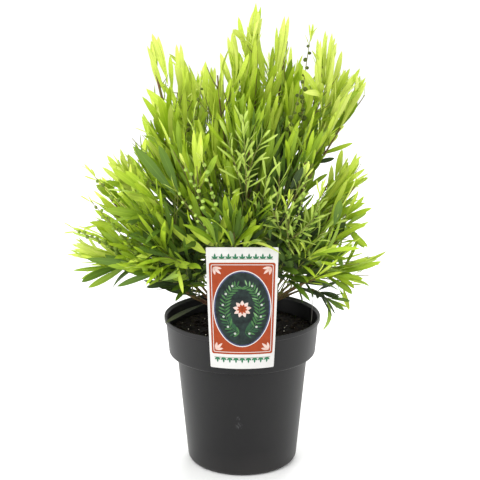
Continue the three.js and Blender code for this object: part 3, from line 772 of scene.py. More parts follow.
def growLimbs():
    # a limb and its leading shoot are one curve, from its parent's middle to its crown's tip less the tuft
    limbs, steps = {}, limbShape["leaderSteps"]
    for name, parentName, at, tip in limbTable:
        parent = limbs.get(parentName)
        bare = limbShape["boughBare"] if parent else limbShape["stemBare"]
        foot = limbShape["boughRadius"] if parent else limbShape["stemRadius"]
        tip = Vector(tip)
        start = pointAt(parent["path"], at * parent["bare"]) if parent else trunkFoot.lerp(trunkTop, at)
        ending = endingAt(tip, hanging.get(name, 1))
        end = tip - ending * limbShape["tuft"]
        leaving = (end - start).normalized()
        if parent:
            along = headingAt(parent["path"], at * parent["bare"])
            leaving = leaving.lerp(along, limbShape["parentPull"]).normalized()
        else:
            rise = limbShape["stemRise"]
            leaving = leaving.lerp(Vector((leaving.x, leaving.y, rise)), rise).normalized()
        span = (end - start).length * limbShape["handle"]
        path, length = evenPath(bezier(start, start + leaving * span, end - ending * span, end))
        leader = stretch(path, bare, 1, steps)
        if name in drawnIn:
            leader = [p - Vector((p.x, p.y, 0)).normalized() * drawnIn[name] * math.sin(math.pi * k / steps)
                      for k, p in enumerate(leader)]
        limbs[name] = {
            "name": name, "path": path, "length": length, "bare": bare, "foot": foot, "tip": tip,
            "reach": (tip - crownShape["middle"]).length + crownShape["reach"],
            "leader": leader, "leaderLength": length * (1 - bare),
        }
    return limbs


limbs = growLimbs()
names = list(limbs)


def segmentsOf(paths):
    stops = np.array([[tuple(p) for p in path] for path in paths])
    return stops[:, :-1], stops[:, 1:] - stops[:, :-1]


bareSegments = segmentsOf([stretch(limb["path"], 0, limb["bare"], 8) for limb in limbs.values()])
leaderSegments = segmentsOf([stretch(limb["path"], limb["bare"], 1, 4) for limb in limbs.values()])
limbFeet = np.array([limb["foot"] for limb in limbs.values()])


def gapsTo(places, segments):
    # the distance from each place to each limb's path
    starts, spans = segments
    offsets = places[:, None, None, :] - starts[None]
    shares = (offsets * spans).sum(-1) / (spans * spans).sum(-1)
    gaps = offsets - np.clip(shares, 0, 1)[..., None] * spans
    return np.sqrt((gaps * gaps).sum(-1).min(-1))


outlineShape = {
    # the crown's outline on the plane through the pot's axis, seen from the eye: across, lowest, highest
    "eye": Vector((0, -1550.9, 693.3)),
    "rows": [
        (-226, 268, 290), (-217, 268, 308), (-207, 251, 312), (-197, 247, 333), (-185, 245, 372),
        (-175, 247, 378), (-165, 250, 398), (-155, 252, 400), (-144, 252, 420), (-134, 249, 436),
        (-126, 246, 440), (-119, 241, 500), (-112, 234, 553), (-102, 232, 551), (-93, 228, 527),
        (-83, 226, 538), (-73, 226, 535), (-64, 226, 516), (-54, 224, 505), (-44, 222, 516), (-35, 220, 512),
        (-25, 215, 528), (-15, 212, 549), (-5, 212, 569), (5, 212, 560), (14, 212, 584), (24, 212, 580),
        (34, 216, 530), (43, 222, 560), (53, 236, 570), (63, 238, 522), (73, 238, 524), (82, 236, 556),
        (92, 234, 542), (102, 226, 552), (112, 224, 550), (122, 224, 526), (132, 226, 508), (142, 230, 506),
        (152, 232, 496), (158, 234, 440), (160, 240, 330), (167, 252, 296), (178, 258, 290), (184, 262, 282),
    ],
    "gaps": [
        # places where nothing grows: across, height, half width, half height
        (99, 368, 9, 27), (116, 391, 5, 19), (-169, 303, 9, 9), (65, 235, 12, 6), (112, 226, 8, 8),
        (86, 503, 5, 12), (-169, 279, 10, 7), (75, 243, 8, 6), (-82, 488, 3, 12), (86, 359, 4, 6),
        (1, 519, 2.5, 10), (-93, 435, 4, 7), (103, 400, 8, 4), (57, 506, 4, 5), (62, 371, 3, 5),
        (134, 264, 5, 3), (124, 241, 5, 4), (109, 335, 4, 5), (137, 293, 4, 3), (-154, 307, 5, 5),
        (122, 418, 12, 11), (-183, 284, 5, 3), (44, 300, 3, 5), (-98, 501, 5, 14), (-98, 458, 8, 13),
        (-20, 497, 4, 13), (159, 395, 9, 16), (145, 321, 13, 9), (164, 285, 10, 12), (-166, 340, 7, 6),
        (-176, 330, 6, 6), (-115, 458, 7, 13), (-103, 484, 5, 10), (-31, 501, 4, 11), (26, 537, 5, 8),
        (137, 345, 5, 8),
    ],
}
outlineRows = np.array(outlineShape["rows"], float).T
outlineGaps = np.array(outlineShape["gaps"], float).T

clearance = {
    # where no growth goes: the pot's wall (radii, top), the pot's bowl (radius, top), the label (half width,
    # back, top)
    "wall": (91, 102, 196), "bowl": (102, 188), "label": (47, -91, 313),
}


def rowsOf(places):
    return np.array([tuple(p) for p in places])


def shownAt(places):
    # how far across and how high places show on the plane through the pot's axis
    eye = outlineShape["eye"]
    scale = -eye.y / (places[:, 1] - eye.y)
    return places[:, 0] * scale, eye.z + (places[:, 2] - eye.z) * scale


def insideOutline(places):
    # true where every place is seen inside the outline and beside its gaps
    across, height = shownAt(places)
    stops, *edges = outlineRows
    lowest, highest = (np.interp(across, stops, edge) for edge in edges)
    beyond = (across < stops[0]) | (across > stops[-1]) | (height < lowest) | (height > highest)
    x, z, wide, tall = outlineGaps
    offsets = ((across[:, None] - x) / wide) ** 2 + ((height[:, None] - z) / tall) ** 2
    return not beyond.any() and bool((offsets > 1).all())


def clearOfPot(places):
    x, y, z = places.T
    radius = np.hypot(x, y)
    (inside, outside, lip), (bowl, floor) = clearance["wall"], clearance["bowl"]
    half, back, top = clearance["label"]
    inWall = (radius > inside) & (radius < outside) & (z < lip)
    inBowl = (radius < bowl) & (z < floor)
    atLabel = (np.abs(x) < half) & (y < back) & (z < top)
    return not (inWall | inBowl | atLabel).any()


def clearOfLimbs(places, reach):
    # true where every place is clear of the pot and of the bare limbs
    places = rowsOf(places)
    return clearOfPot(places) and bool((gapsTo(places, bareSegments) > limbFeet + reach).all())


def fits(places, limb, reach):
    # true where every place also keeps to the limb's own part of the crown
    places = rowsOf(places)
    tip = limb["tip"]
    breadth = max(math.hypot(tip.x, tip.y) + crownShape["spread"], crownShape["core"])
    away = np.linalg.norm(places - np.array(crownShape["middle"]), axis=1)
    low = min(crownShape["floor"], tip.z - crownShape["reach"])
    outside = (places[:, 2] < low) | (away > limb["reach"]) | (np.hypot(places[:, 0], places[:, 1]) > breadth)
    if outside.any() or not insideOutline(places) or not clearOfLimbs(places, reach):
        return False
    gaps = gapsTo(places, leaderSegments)
    own = gaps[:, names.index(limb["name"])]
    return bool((gaps.min(axis=1) > own - crownShape["overlap"]).all())


shootShape = {
    "sides": 3, "sideSpacing": 52, "attempts": 6, "retryTurn": 1.05, "retryScale": 0.92, "leaderFoot": 0.9,
    "sideLength": 92, "sideShortening": 0.36, "sideAngle": 34, "sideRise": 0.5, "sideFoot": 0.95,
    "sideStray": 0.06, "variety": 0.3, "moreSpacing": 30, "moreLength": 66, "moreAngle": 36, "moreTurn": 1.1,
    "twiglets": 1, "twigletLength": 40, "twigletAngle": 38, "twigletFoot": 0.7, "anyTurn": 6.283,
    "sideSpan": (0.06, 0.74), "moreSpan": (0.04, 0.92), "twigletSpan": (0.15, 0.6),  # start and width
    "taper": 0.45, "probes": (0.3, 0.5, 0.75, 1), "margin": 2,
}


def shootOf(grown, order, foot):
    # grown is a path and its length
    return {"path": grown[0], "length": grown[1], "order": order, "foot": foot}


def sideShoot(limb, parent, place, attempt, length, angle):
    # leaves a shoot at an angle and turns up; each attempt tries another bearing
    shape = shootShape
    start, along = pointAt(parent, place["at"]), headingAt(parent, place["at"])
    bearing = place["bearing"] + attempt * shape["retryTurn"]
    away = leaning(along, math.radians(angle * place["spread"]), bearing)
    scale = shape["retryScale"] ** attempt
    half = length * place["size"] * (1 - shape["sideShortening"] * place["at"]) * scale / 2
    middle = start + away * half
    turn = away.lerp(endingAt(start, hanging.get(limb["name"], 1)), shape["sideRise"]).normalized()
    return evenPath(bezier(start, middle, middle + turn * half), 16, 32)


def growSide(limb, parent, place, length, angle):
    for attempt in range(shootShape["attempts"]):
        grown = sideShoot(limb, parent, place, attempt, length, angle)
        if fits([pointAt(grown[0], s) for s in shootShape["probes"]], limb, shootShape["margin"]):
            return grown
    return None


def spaced(count, span, random, firstBearing, turn=0):
    # where side shoots leave, each a golden angle on from the last
    made, variety, (start, width) = [], shootShape["variety"], span
    for k in range(count):
        at = start + width * (k + 0.5) / count + around(shootShape["sideStray"], random)
        made.append({"at": at, "bearing": firstBearing + (k + turn) * goldenAngle,
                     "spread": varied(variety, random), "size": varied(variety, random)})
    return made


def growShoots(limb, index):
    # the leading shoot, its main side shoots, finer side shoots between them, and twiglets on those
    shape, random, extra = shootShape, stream(5 + index), stream(400 + index)
    length = limb["leaderLength"]
    shoots = [shootOf((limb["leader"], length), 0, limb["foot"] * shape["leaderFoot"])]
    count = min(shape["sides"], math.floor(length / shape["sideSpacing"] + 0.5))
    bearing = random() * fullTurn
    main = spaced(count, shape["sideSpan"], random, bearing)
    count, bearing = round(length / shape["moreSpacing"]), bearing + shape["moreTurn"]
    fine = spaced(count, shape["moreSpan"], extra, bearing, 0.5)
    for order, batch, kind in ((1, main, "side"), (2, fine, "more")):
        for place in batch:
            grown = growSide(limb, limb["leader"], place, shape[kind + "Length"], shape[kind + "Angle"])
            if grown:
                shoots.append(shootOf(grown, order, shape["sideFoot"]))
    for shoot in shoots[1:]:
        for place in spaced(shape["twiglets"], shape["twigletSpan"], extra, extra() * shape["anyTurn"]):
            grown = growSide(limb, shoot["path"], place, shape["twigletLength"], shape["twigletAngle"])
            if grown:
                shoots.append(shootOf(grown, 3, shape["twigletFoot"]))
    return shoots, extra


shootsOf = {limb["name"]: growShoots(limb, index) for index, limb in enumerate(limbs.values())}
grownShoots = [shoot for shoots, _ in shootsOf.values() for shoot in shoots]
say(f"{len(grownShoots)} shoots")

# the leaves
leafShape = {
    "length": 86, "width": 7.5, "thickness": 0.5, "least": 4, "crowding": 0.66, "angles": (44, 8), "lift": 1.2,
    "spacing": (8, 6.6, 6.6, 6), "start": (0.04, 0.12, 0.12, 0.16),  # by the shoot's order
    "youngShorter": 0.26, "youngNarrower": 0.25, "attempts": 4, "retryTurn": 1.3, "retryScale": 0.88,
    "variety": 0.4, "angleVariety": 0.4, "widthVariety": 0.5, "bearingStray": 0.5, "stray": 0.19,
    "strayAngle": 2.0, "small": 0.2, "smallScale": 0.42, "smallBelow": 0.7, "roll": 1.8, "twist": 1.5,
    "bend": 0.16, "bendMiddle": 0.4, "droop": 0.08, "droopMiddle": 0.25, "fold": 0.12, "belt": 0.45,
    "tipThinner": 0.6, "margin": 1.0,
    "lowSlimmer": 0.24, "lowFrom": 360, "lowOver": 110,  # leaves get slimmer over so much below a height
    "kept": {"low_right": 0.6, "outer_right": 0.6, "side_front_right": 0.5, "low_front_right": 0.75,
             "back_outer_right": 0.8, "low_back_right": 0.7, "shoulder_right": 0.85,
             "front_right": 0.65, "front": 0.8, "inner_right": 0.85, "outer_left": 0.75, "side_front_left": 0.8,
             "low_left": 0.75, "low_front_left": 0.8, "low_back_left": 0.7, "front_left": 0.8},
    "sharp": 24, "rough": 0.48, "specular": 0.32, "bodyDarker": 0.8, "midribLighter": 22,
    "stations": (0.03, 0.12, 0.27, 0.45, 0.62, 0.78, 0.91),
    "widths": (0.16, 0.34, 0.66, 0.92, 1.0, 0.88, 0.54),
}
leafTints = [
    # name, body of the blade, its tip and young edge; the first six run from darkest to lightest and are dealt
    # out as painted light and shade
    ("leavesDeep", (42, 60, 22), (58, 80, 26)),
    ("leavesShade", (80, 110, 30), (100, 132, 34)),
    ("leavesMid", (122, 152, 32), (148, 178, 38)),
    ("leavesFresh", (156, 188, 38), (184, 210, 50)),
    ("leavesLime", (184, 209, 60), (206, 226, 82)),
    ("leavesPale", (202, 221, 86), (222, 235, 116)),
    ("leavesYoung", (166, 194, 74), (196, 216, 106)),
    # a dark olive green, for the leaf that lies over the pot's rim
    ("leavesDusty", (50, 56, 38), (68, 74, 46)),
]
# how the leaves' greens are dealt out: painted light and shade by place in the crown, with youth and chance
paintedLightYouthShape = {
    "lowest": 235, "rise": 330, "high": 0.8, "east": 1.25, "west": 1.2, "breadth": 200, "side": 0.36,
    "young": 0.22, "least": 0.16, "steepness": 2.5, "variety": 0.26, "tones": 6,
    # across, height, half width, half height, and the painted shade there, or the painted light where it is
    # negative
    "patches": [(46, 380, 55, 70, 0.31), (-80, 300, 42, 40, 0.14), (136, 372, 36, 50, -0.16),
                (-22, 392, 30, 46, -0.14)],
}
leafRows = [[] for _ in leafTints]


def bendOf(width, random):
    # leaves bend up a little more than down
    return (random() - leafShape["bendMiddle"]) * width


def drawnLeaf(shape, share, bearing, angle, length, width, variety, random):
    # one leaf on a shoot, all but its twist and how it hangs
    return {
        "share": share, "bearing": bearing + around(shape["bearingStray"], random),
        "angle": math.radians(angle) * varied(shape["angleVariety"], random),
        "length": length * varied(variety, random), "width": width * varied(shape["widthVariety"], random),
        "roll": around(shape["roll"], random), "bend": bendOf(shape["bend"], random),
    }


def leafBearings(shoot, random):
    # where a shoot's leaves sit and how each one points
    shape, order = leafShape, shoot["order"]
    count = max(shape["least"], round(shoot["length"] / shape["spacing"][order]))
    start, first = shape["start"][order], random() * fullTurn
    leaves = []
    for i in range(count):
        share = lerp(start, 1, ((i + 0.5) / count) ** shape["crowding"])
        young = share ** 3
        angle = lerp(*shape["angles"], share ** shape["lift"])
        if random() < shape["stray"]:
            angle *= shape["strayAngle"]
        scale = shape["smallScale"] if random() < shape["small"] and young < shape["smallBelow"] else 1
        length = scale * shape["length"] * (1 - shape["youngShorter"] * young)
        width = scale * shape["width"] * (1 - shape["youngNarrower"] * young)
        leaf = drawnLeaf(shape, share, first + i * goldenAngle, angle, length, width, shape["variety"], random)
        leaf["twist"] = around(shape["twist"], random)
        leaf["droop"] = shape["droop"] * (random() - shape["droopMiddle"]) * (1 - young)
        leaves.append(leaf)
    return leaves


def placeLeaf(shoot, leaf, attempt):
    root = pointAt(shoot["path"], leaf["share"])
    axis = headingAt(shoot["path"], leaf["share"])
    forward = leaning(axis, leaf["angle"], leaf["bearing"] + attempt * leafShape["retryTurn"])
    inward = (axis - forward * axis.dot(forward)).normalized()
    level = forward.cross(inward)
    up = inward * math.cos(leaf["roll"]) + level * math.sin(leaf["roll"])
    sideways = forward.cross(up)
    length, half = leaf["length"] * leafShape["retryScale"] ** attempt, sideways * (leaf["width"] / 2)
    tip = root + forward * length - upward * (leaf["droop"] * length)
    belt = root + forward * (length * leafShape["belt"]) + up * (leaf["bend"] * length)
    probes = [tip, root.lerp(belt, 0.5), belt, belt.lerp(tip, 0.5), belt + half, belt - half]
    blade = (root, forward, sideways, up, length, leaf["width"], leaf["bend"], leaf["droop"], leaf["twist"])
    return blade, probes


def settled(shoot, leaf, isClear):
    # the leaf's blade and its middle, at the first of a few bearings where it is clear
    for attempt in range(leafShape["attempts"]):
        blade, probes = placeLeaf(shoot, leaf, attempt)
        if isClear(probes):
            return blade, probes[2]
    return None, None


def paintedLightYouth(place, share):
    # painted light and shade: a leaf's green is lighter high in the crown, out at its sides and back and in lit
    # patches, and darker in shaded patches; young leaves are also paler, which is their own colour
    shape = paintedLightYouthShape
    high = max(0, place.z - shape["lowest"]) / shape["rise"]
    east = shape["east"] if place.x > 0 else shape["west"]
    side = math.hypot(place.x * east, max(0, place.y)) / shape["breadth"]
    lightYouthLevel = shape["least"] + shape["high"] * high ** shape["steepness"] + shape["side"] * side
    lightYouthLevel += shape["young"] * share
    for across, height, wide, tall, shade in shape["patches"]:
        lightYouthLevel -= shade * math.exp(-((place.x - across) / wide) ** 2 - ((place.z - height) / tall) ** 2)
    return lightYouthLevel


def growLeaves(limb, shoots, random):
    shape, variety, tones = leafShape, paintedLightYouthShape["variety"], paintedLightYouthShape["tones"]
    for shoot in shoots:
        ownShade = around(variety, random)
        for leaf in leafBearings(shoot, random):
            if random() > shape["kept"].get(limb["name"], 1):
                continue
            low = clamp((shape["lowFrom"] - pointAt(shoot["path"], leaf["share"]).z) / shape["lowOver"])
            leaf["width"] *= 1 - shape["lowSlimmer"] * low
            blade, middle = settled(shoot, leaf, lambda probes: fits(probes, limb, shape["margin"]))
            if blade:
                # the leaf's green: painted light and shade for its place, its youth, and tone that differs at
                # random
                lightYouthLevel = paintedLightYouth(middle, leaf["share"]) + ownShade + around(variety, random)
                leafRows[clamp(int(lightYouthLevel * tones), 0, tones - 1)].append(blade)


def bladeMesh(rows):
    # every blade is a thin lens with a folded midrib: a root, seven rings of four points and a tip
    root, forward, sideways, up = (np.array([tuple(row[i]) for row in rows]) for i in range(4))
    length, width, bend, droop, twist = (np.array([row[i] for row in rows])[:, None] for i in range(4, 9))
    down = np.array([0, 0, -1.0])

    def spine(t):
        arch = 4 * t * (1 - t) * bend * length
        return root + forward * length * t + up * arch + down * droop * length * t * t

    shape = leafShape
    stations, thick = shape["stations"], shape["thickness"] / 2
    columns, coords = [root[:, None]], [(0.5, 0)]
    for t, share in zip(stations, shape["widths"]):
        centre = spine(t)
        half = width * share / 2
        across = sideways * np.cos(twist * t) + up * np.sin(twist * t)
        above = up * np.cos(twist * t) - sideways * np.sin(twist * t)
        edge, body = above * half * shape["fold"], above * (thick * (1 - shape["tipThinner"] * t))
        ring = [centre - across * half + edge, centre + body, centre + across * half + edge, centre - body]
        columns += [point[:, None] for point in ring]
        coords += [(0, t), (0.5, t), (1, t), (0.5, t)]
    columns.append(spine(1.0)[:, None])
    coords.append((0.5, 1))
    points = np.concatenate(columns, axis=1)
    size = points.shape[1]
    rings = [range(1 + 4 * i, 5 + 4 * i) for i in range(len(stations))]
    quads = bridged(rings)
    ends = bridge([0], rings[0]) + bridge(rings[-1], [size - 1])
    starts = np.arange(len(rows))[:, None, None] * size
    faces = (starts + np.array(quads)).reshape(-1, 4).tolist()
    faces += (starts + np.array(ends)).reshape(-1, 3).tolist()
    return points.reshape(-1, 3), faces, np.tile(np.array(coords), (len(rows), 1))


def leafSkin(name, body, tip):
    # darker patches down a blade that pales to its tip, with a light midrib and fine veins
    shape = leafShape
    material, tree, shader = makeMaterial(name, shape)
    blade = addNode(tree, "ShaderNodeUVMap", uv_map="blade").outputs[0]
    across, along, _ = addNode(tree, "ShaderNodeSeparateXYZ", {0: blade}).outputs
    mottle = mapped(tree, grain(tree, placeOf(tree), 70, 3), 0.3, 0.72)
    darker = tuple(c * shape["bodyDarker"] for c in tint(*body)[:3]) + (1,)
    base = mixed(tree, mottle, darker, tint(*body))
    base = mixed(tree, mapped(tree, along, 0.35, 1.0, 0, 0.75), base, tint(*tip))
    offMiddle = calculated(tree, "ABSOLUTE", calculated(tree, "SUBTRACT", across, 0.5))
    midrib = tint(*[min(255, c + shape["midribLighter"]) for c in tip])
    base = mixed(tree, mapped(tree, offMiddle, 0.07, 0.0, 0, 0.4), base, midrib)
    veins = addNode(tree, "ShaderNodeTexWave", {"Vector": blade, "Scale": 3.2, "Distortion": 0.6},
                    bands_direction="X").outputs[1]
    feed(tree, shader, {"Base Color": base, "Normal": relief(tree, veins, 0.06)})
    return material


sprayTable = [
    # limb, how far along it, places on the way (across, height, depth), leaves, their length and width, their
    # angles at the foot and the tip, how far they hang, tone, which is partly painted light and shade
    ("low_left", 0.5, [(-128, 260, -24), (-166, 268, -34)], 9, 52, 7.5, 34, 8, 0.02, 5),
    ("low_left", 0.5, [(-126, 257, -44), (-154, 258, -54)], 6, 54, 9, 44, 20, 0.12, 1),
    ("drooping", 0.8, [(88, 228, -40), (102, 222, -42)], 7, 30, 6, 56, 30, 0.1, 0),
    ("drooping", 0.6, [(78, 236, -40), (88, 246, -44)], 7, 34, 6.5, 54, 24, 0.2, 0),
    ("drooping", 0.95, [(106, 215, -42), (114, 214, -46)], 4, 24, 5, 50, 20, 0.1, 2),
    ("low_left", 0.45, [(-140, 275, -60), (-152, 288, -64)], 5, 46, 7.5, 40, 10, 0.02, 3),
    ("low_left", 0.42, [(-122, 286, -74), (-144, 300, -78)], 5, 58, 8.5, 36, 10, 0.03, 3),
    ("outer_left", 0.5, [(-124, 345, -20), (-143, 368, -26)], 12, 50, 7, 32, 10, 0.0, 5),
    ("side_front_left", 0.5, [(-90, 338, -84), (-126, 354, -92)], 9, 54, 8.5, 50, 14, 0.08, 3),
    ("side_front_left", 0.55, [(-92, 316, -92), (-124, 322, -98)], 8, 58, 9, 52, 16, 0.12, 2),
    ("low_front_left", 0.5, [(-84, 250, -70), (-114, 250, -80)], 6, 50, 8.5, 40, 12, 0.08, 1),
    ("low_left", 0.3, [(-58, 236, -50), (-88, 236, -60)], 6, 44, 8, 34, 10, 0.06, 0),
    ("low_front_left", 0.4, [(-64, 262, -92), (-98, 270, -104)], 8, 52, 8, 56, 16, 0.16, 2),
    ("low_front_left", 0.3, [(-58, 268, -60), (-64, 286, -64)], 9, 52, 8, 60, 24, 0.1, 0),
    ("low_front_left", 0.25, [(-52, 246, -60), (-66, 256, -66)], 8, 46, 7.5, 60, 24, 0.16, 0),
    ("front_low", 0.5, [(-14, 268, -104), (-12, 292, -112)], 8, 62, 9, 52, 14, 0.05, 3),
    ("front_low", 0.45, [(-24, 268, -104), (-34, 288, -110)], 6, 54, 8.5, 46, 14, 0.1, 2),
    ("front_low", 0.4, [(-6, 276, -106), (8, 284, -110)], 4, 50, 7.5, 44, 20, 0.12, 3),
    ("low_front_right", 0.3, [(54, 262, -60), (60, 282, -64)], 9, 50, 7.5, 60, 24, 0.1, 0),
    ("low_front_right", 0.35, [(64, 256, -40), (84, 262, -44)], 8, 46, 7.5, 56, 20, 0.14, 1),
    ("outer_right", 0.45, [(100, 328, -10), (114, 352, -16)], 11, 52, 8.5, 34, 8, 0.0, 4),
    ("outer_right", 0.4, [(78, 372, -20), (92, 388, -24)], 4, 52, 7.5, 40, 16, 0.0, 2),
    ("low_right", 0.2, [(48, 250, -72), (54, 268, -80)], 10, 46, 7.5, 66, 30, 0.1, 0),
    ("low_right", 0.3, [(58, 246, -76), (74, 256, -84)], 10, 46, 7.5, 64, 26, 0.12, 1),
    ("low_right", 0.35, [(64, 240, -70), (88, 244, -80)], 8, 40, 6.5, 56, 24, 0.16, 0),
    ("low_right", 0.6, [(112, 306, -20), (126, 316, -24)], 6, 44, 6.5, 40, 14, 0.02, 4),
    ("low_right", 0.6, [(112, 300, -30), (128, 308, -34)], 5, 46, 9, 50, 24, 0.3, 2),
    ("low_right", 0.6, [(104, 250, -20), (128, 252, -26)], 6, 54, 8.5, 40, 10, 0.04, 3),
    ("low_right", 0.6, [(100, 246, -36), (120, 244, -44)], 6, 44, 7, 44, 16, 0.2, 3),
    ("low_front_right", 0.6, [(70, 262, -92), (92, 272, -102)], 8, 50, 7.5, 56, 20, 0.12, 3),
    ("top_left", 0.55, [(-84, 400, -20), (-92, 420, -26)], 4, 84, 11, 24, 12, 0.0, 4),
]
budTable = [
    # limb, how far along it, places on the way, buds, their half size, small leaves at the end, kind
    ("low_left", 0.5, [(-140, 330, -90), (-166, 352, -100), (-189, 379, -104)], 16, 3.0, 4, 0),
    ("low_left", 0.6, [(-140, 284, -94), (-162, 310, -104), (-190, 342, -108)], 18, 3.0, 2, 0),
    ("low_left", 0.7, [(-156, 280, -80), (-182, 292, -86), (-213, 306, -90)], 18, 2.9, 2, 0),
    ("top_right", 0.7, [(72, 470, -62), (76, 500, -56), (83, 546, -40)], 12, 3.0, 7, 2),
    ("inner_right", 0.6, [(60, 430, -80), (64, 452, -84), (72, 486, -86)], 10, 2.9, 0, 2),
    ("front_left", 0.45, [(-40, 318, -128), (-56, 350, -130), (-72, 392, -126)], 15, 2.7, 2, 1),
    ("front_left", 0.5, [(-28, 330, -130), (-42, 362, -132), (-50, 398, -128)], 12, 2.6, 3, 1),
    ("front_left", 0.4, [(-48, 312, -124), (-72, 336, -128), (-86, 362, -126)], 9, 2.4, 2, 1),
    ("front_right", 0.5, [(72, 300, -110), (74, 340, -116), (80, 380, -112)], 14, 2.1, 4, 1),
    ("front_right", 0.45, [(88, 296, -106), (94, 322, -110), (98, 352, -108)], 10, 2.1, 4, 1),
    ("side_front_right", 0.4, [(60, 286, -108), (52, 316, -112), (58, 342, -110)], 8, 2.0, 5, 1),
    ("top_left", 0.7, [(-54, 452, -56), (-52, 474, -58), (-50, 496, -58)], 6, 2.5, 3, 2),
]
youngTable = [
    # limb, how far along it, places on the way, small leaves
    ("front", 0.6, [(6, 350, -126), (4, 400, -124), (1, 446, -112)], 26),
    ("front", 0.7, [(8, 390, -122), (18, 408, -120), (26, 424, -116)], 13),
    ("front", 0.65, [(-6, 384, -124), (-14, 404, -120), (-20, 428, -114)], 14),
    ("front_right", 0.5, [(60, 330, -112), (70, 352, -112), (76, 378, -108)], 14),
    ("front_right", 0.4, [(84, 300, -112), (90, 322, -112), (100, 334, -108)], 13),
    ("front_left", 0.7, [(-50, 400, -110), (-54, 420, -106), (-60, 440, -100)], 9),
    ("front_right", 0.45, [(68, 288, -112), (76, 306, -114), (86, 316, -110)], 12),
    ("side_front_right", 0.4, [(56, 300, -112), (58, 322, -114), (64, 342, -110)], 12),
    ("front_right", 0.5, [(40, 330, -112), (48, 352, -114), (46, 376, -110)], 14),
    ("front_right", 0.55, [(52, 296, -112), (44, 318, -116), (34, 338, -114)], 12),
    ("side_front_right", 0.5, [(80, 320, -104), (96, 336, -104), (104, 354, -100)], 12),
    ("front", 0.5, [(22, 326, -120), (30, 352, -122), (30, 374, -118)], 12),
    ("side_front_right", 0.5, [(84, 288, -108), (100, 300, -108), (113, 312, -104)], 12),
]
laidLeaves = [
    # single leaves by depth: foot (across, height), tip (across, height), width, tone, which is partly painted
    # light and shade
    (0, [(-93, 497, -109, 549, 7.8, 5), (-91, 488, -102, 546, 6.0, 5), (-95, 476, -115, 534, 6.0, 5),
        (-86, 480, -88, 523, 6.0, 4), (-76, 482, -80, 536, 6.0, 5), (-74, 482, -75, 536, 6.0, 5),
        (-68, 470, -69, 512, 6.0, 4), (-46, 455, -45, 515, 7.8, 4), (-37, 470, -38, 509, 4.8, 4),
        (-72, 438, -116, 482, 10.8, 4), (-82, 435, -106, 476, 9.6, 4), (-54, 407, -78, 463, 10.2, 4),
        (-9, 476, -26, 526, 7.8, 5), (-5, 482, -17, 545, 7.2, 5), (-3, 495, -11, 554, 6.0, 5),
        (6, 517, -4, 569, 6.6, 4), (2, 470, 16, 583, 10.2, 4), (12, 519, 22, 581, 4.8, 3),
        (28, 488, 19, 536, 7.2, 4), (41, 501, 51, 569, 7.2, 5), (44, 495, 56, 569, 6.6, 5),
        (41, 507, 42, 557, 4.2, 4), (24, 445, 48, 504, 9.6, 4), (47, 464, 60, 518, 8.4, 2),
        (41, 439, 73, 509, 9.6, 3), (93, 492, 92, 543, 4.8, 5), (99, 488, 101, 552, 6.0, 5),
        (103, 482, 109, 549, 6.0, 5), (108, 470, 121, 528, 7.2, 5), (112, 464, 131, 507, 6.0, 4),
        (121, 464, 143, 507, 6.0, 4), (124, 460, 150, 496, 6.0, 4), (91, 445, 142, 480, 8.4, 2),
        (109, 426, 141, 465, 10.8, 2), (92, 407, 118, 426, 8.4, 4), (94, 401, 136, 416, 6.0, 3)]),
    (-30, [(-134, 354, -167, 399, 8.4, 5), (-137, 357, -151, 407, 6.0, 5), (-131, 350, -142, 401, 7.2, 5),
        (-116, 344, -131, 385, 7.2, 4)]),
    (-60, [(-84, 350, -134, 410, 10.8, 2), (-83, 357, -102, 410, 10.8, 2)]),
    (-30, [(-128, 354, -169, 368, 8.4, 2), (-93, 348, -162, 341, 9.6, 3), (-110, 327, -151, 330, 7.2, 3),
        (-144, 305, -177, 346, 9.6, 4), (-158, 279, -186, 315, 9.0, 3), (-97, 315, -144, 313, 8.4, 4),
        (-104, 302, -144, 300, 8.4, 2), (-140, 263, -217, 273, 7.2, 5), (-140, 263, -208, 287, 7.2, 5),
        (-145, 263, -211, 280, 6.0, 5), (-143, 258, -193, 266, 8.4, 3), (-145, 259, -195, 230, 9.6, 2),
        (-149, 258, -213, 252, 6.0, 2), (-105, 243, -152, 254, 7.2, 0), (-48, 222, -123, 238, 8.4, 0),
        (-54, 219, -97, 227, 7.2, 0)]),
    (-90, [(-100, 318, -48, 276, 10.8, 4), (-66, 306, -37, 285, 8.4, 4), (-104, 281, -144, 262, 8.4, 4),
        (-117, 270, -60, 256, 9.6, 3), (-84, 263, -76, 223, 4.8, 4), (-107, 263, -109, 239, 4.8, 4),
        (-33, 285, -17, 331, 9.6, 4), (-26, 292, -5, 357, 9.6, 3), (-22, 289, 12, 328, 8.4, 4),
        (-18, 288, 25, 322, 8.4, 3), (-22, 289, 41, 328, 9.6, 3), (-7, 288, 52, 280, 4.8, 4)]),
    (-20, [(104, 335, 145, 397, 8.4, 4), (105, 337, 144, 368, 9.6, 3), (116, 369, 124, 407, 7.2, 4),
        (110, 350, 152, 383, 6.0, 4), (131, 326, 145, 355, 4.8, 4), (132, 324, 152, 348, 6.0, 3),
        (131, 322, 162, 333, 5.4, 4), (112, 315, 122, 343, 9.6, 1), (130, 313, 154, 283, 8.4, 2),
        (130, 311, 158, 284, 7.2, 3), (128, 311, 154, 310, 7.2, 4), (111, 281, 128, 311, 9.6, 0),
        (125, 248, 175, 263, 7.2, 3), (105, 252, 159, 234, 6.0, 4), (125, 239, 140, 222, 6.0, 2),
        (129, 229, 137, 200, 6.0, 4), (75, 380, 60, 359, 7.2, 0), (88, 391, 114, 397, 6.0, 0)]),
    (-100, [(116, 310, 123, 343, 9.6, 1)]),
    (-104, [(110, 291, 130, 314, 9.6, 0)]),
    (-100, [(60, 357, 75, 385, 8.4, 0)]),
    (-60, [(-115, 256, -195, 267, 9.0, 1)]),
    (-100, [(-104, 326, -144, 315, 8.4, 1)]),
    (-104, [(-91, 302, -144, 297, 9.0, 1)]),
]
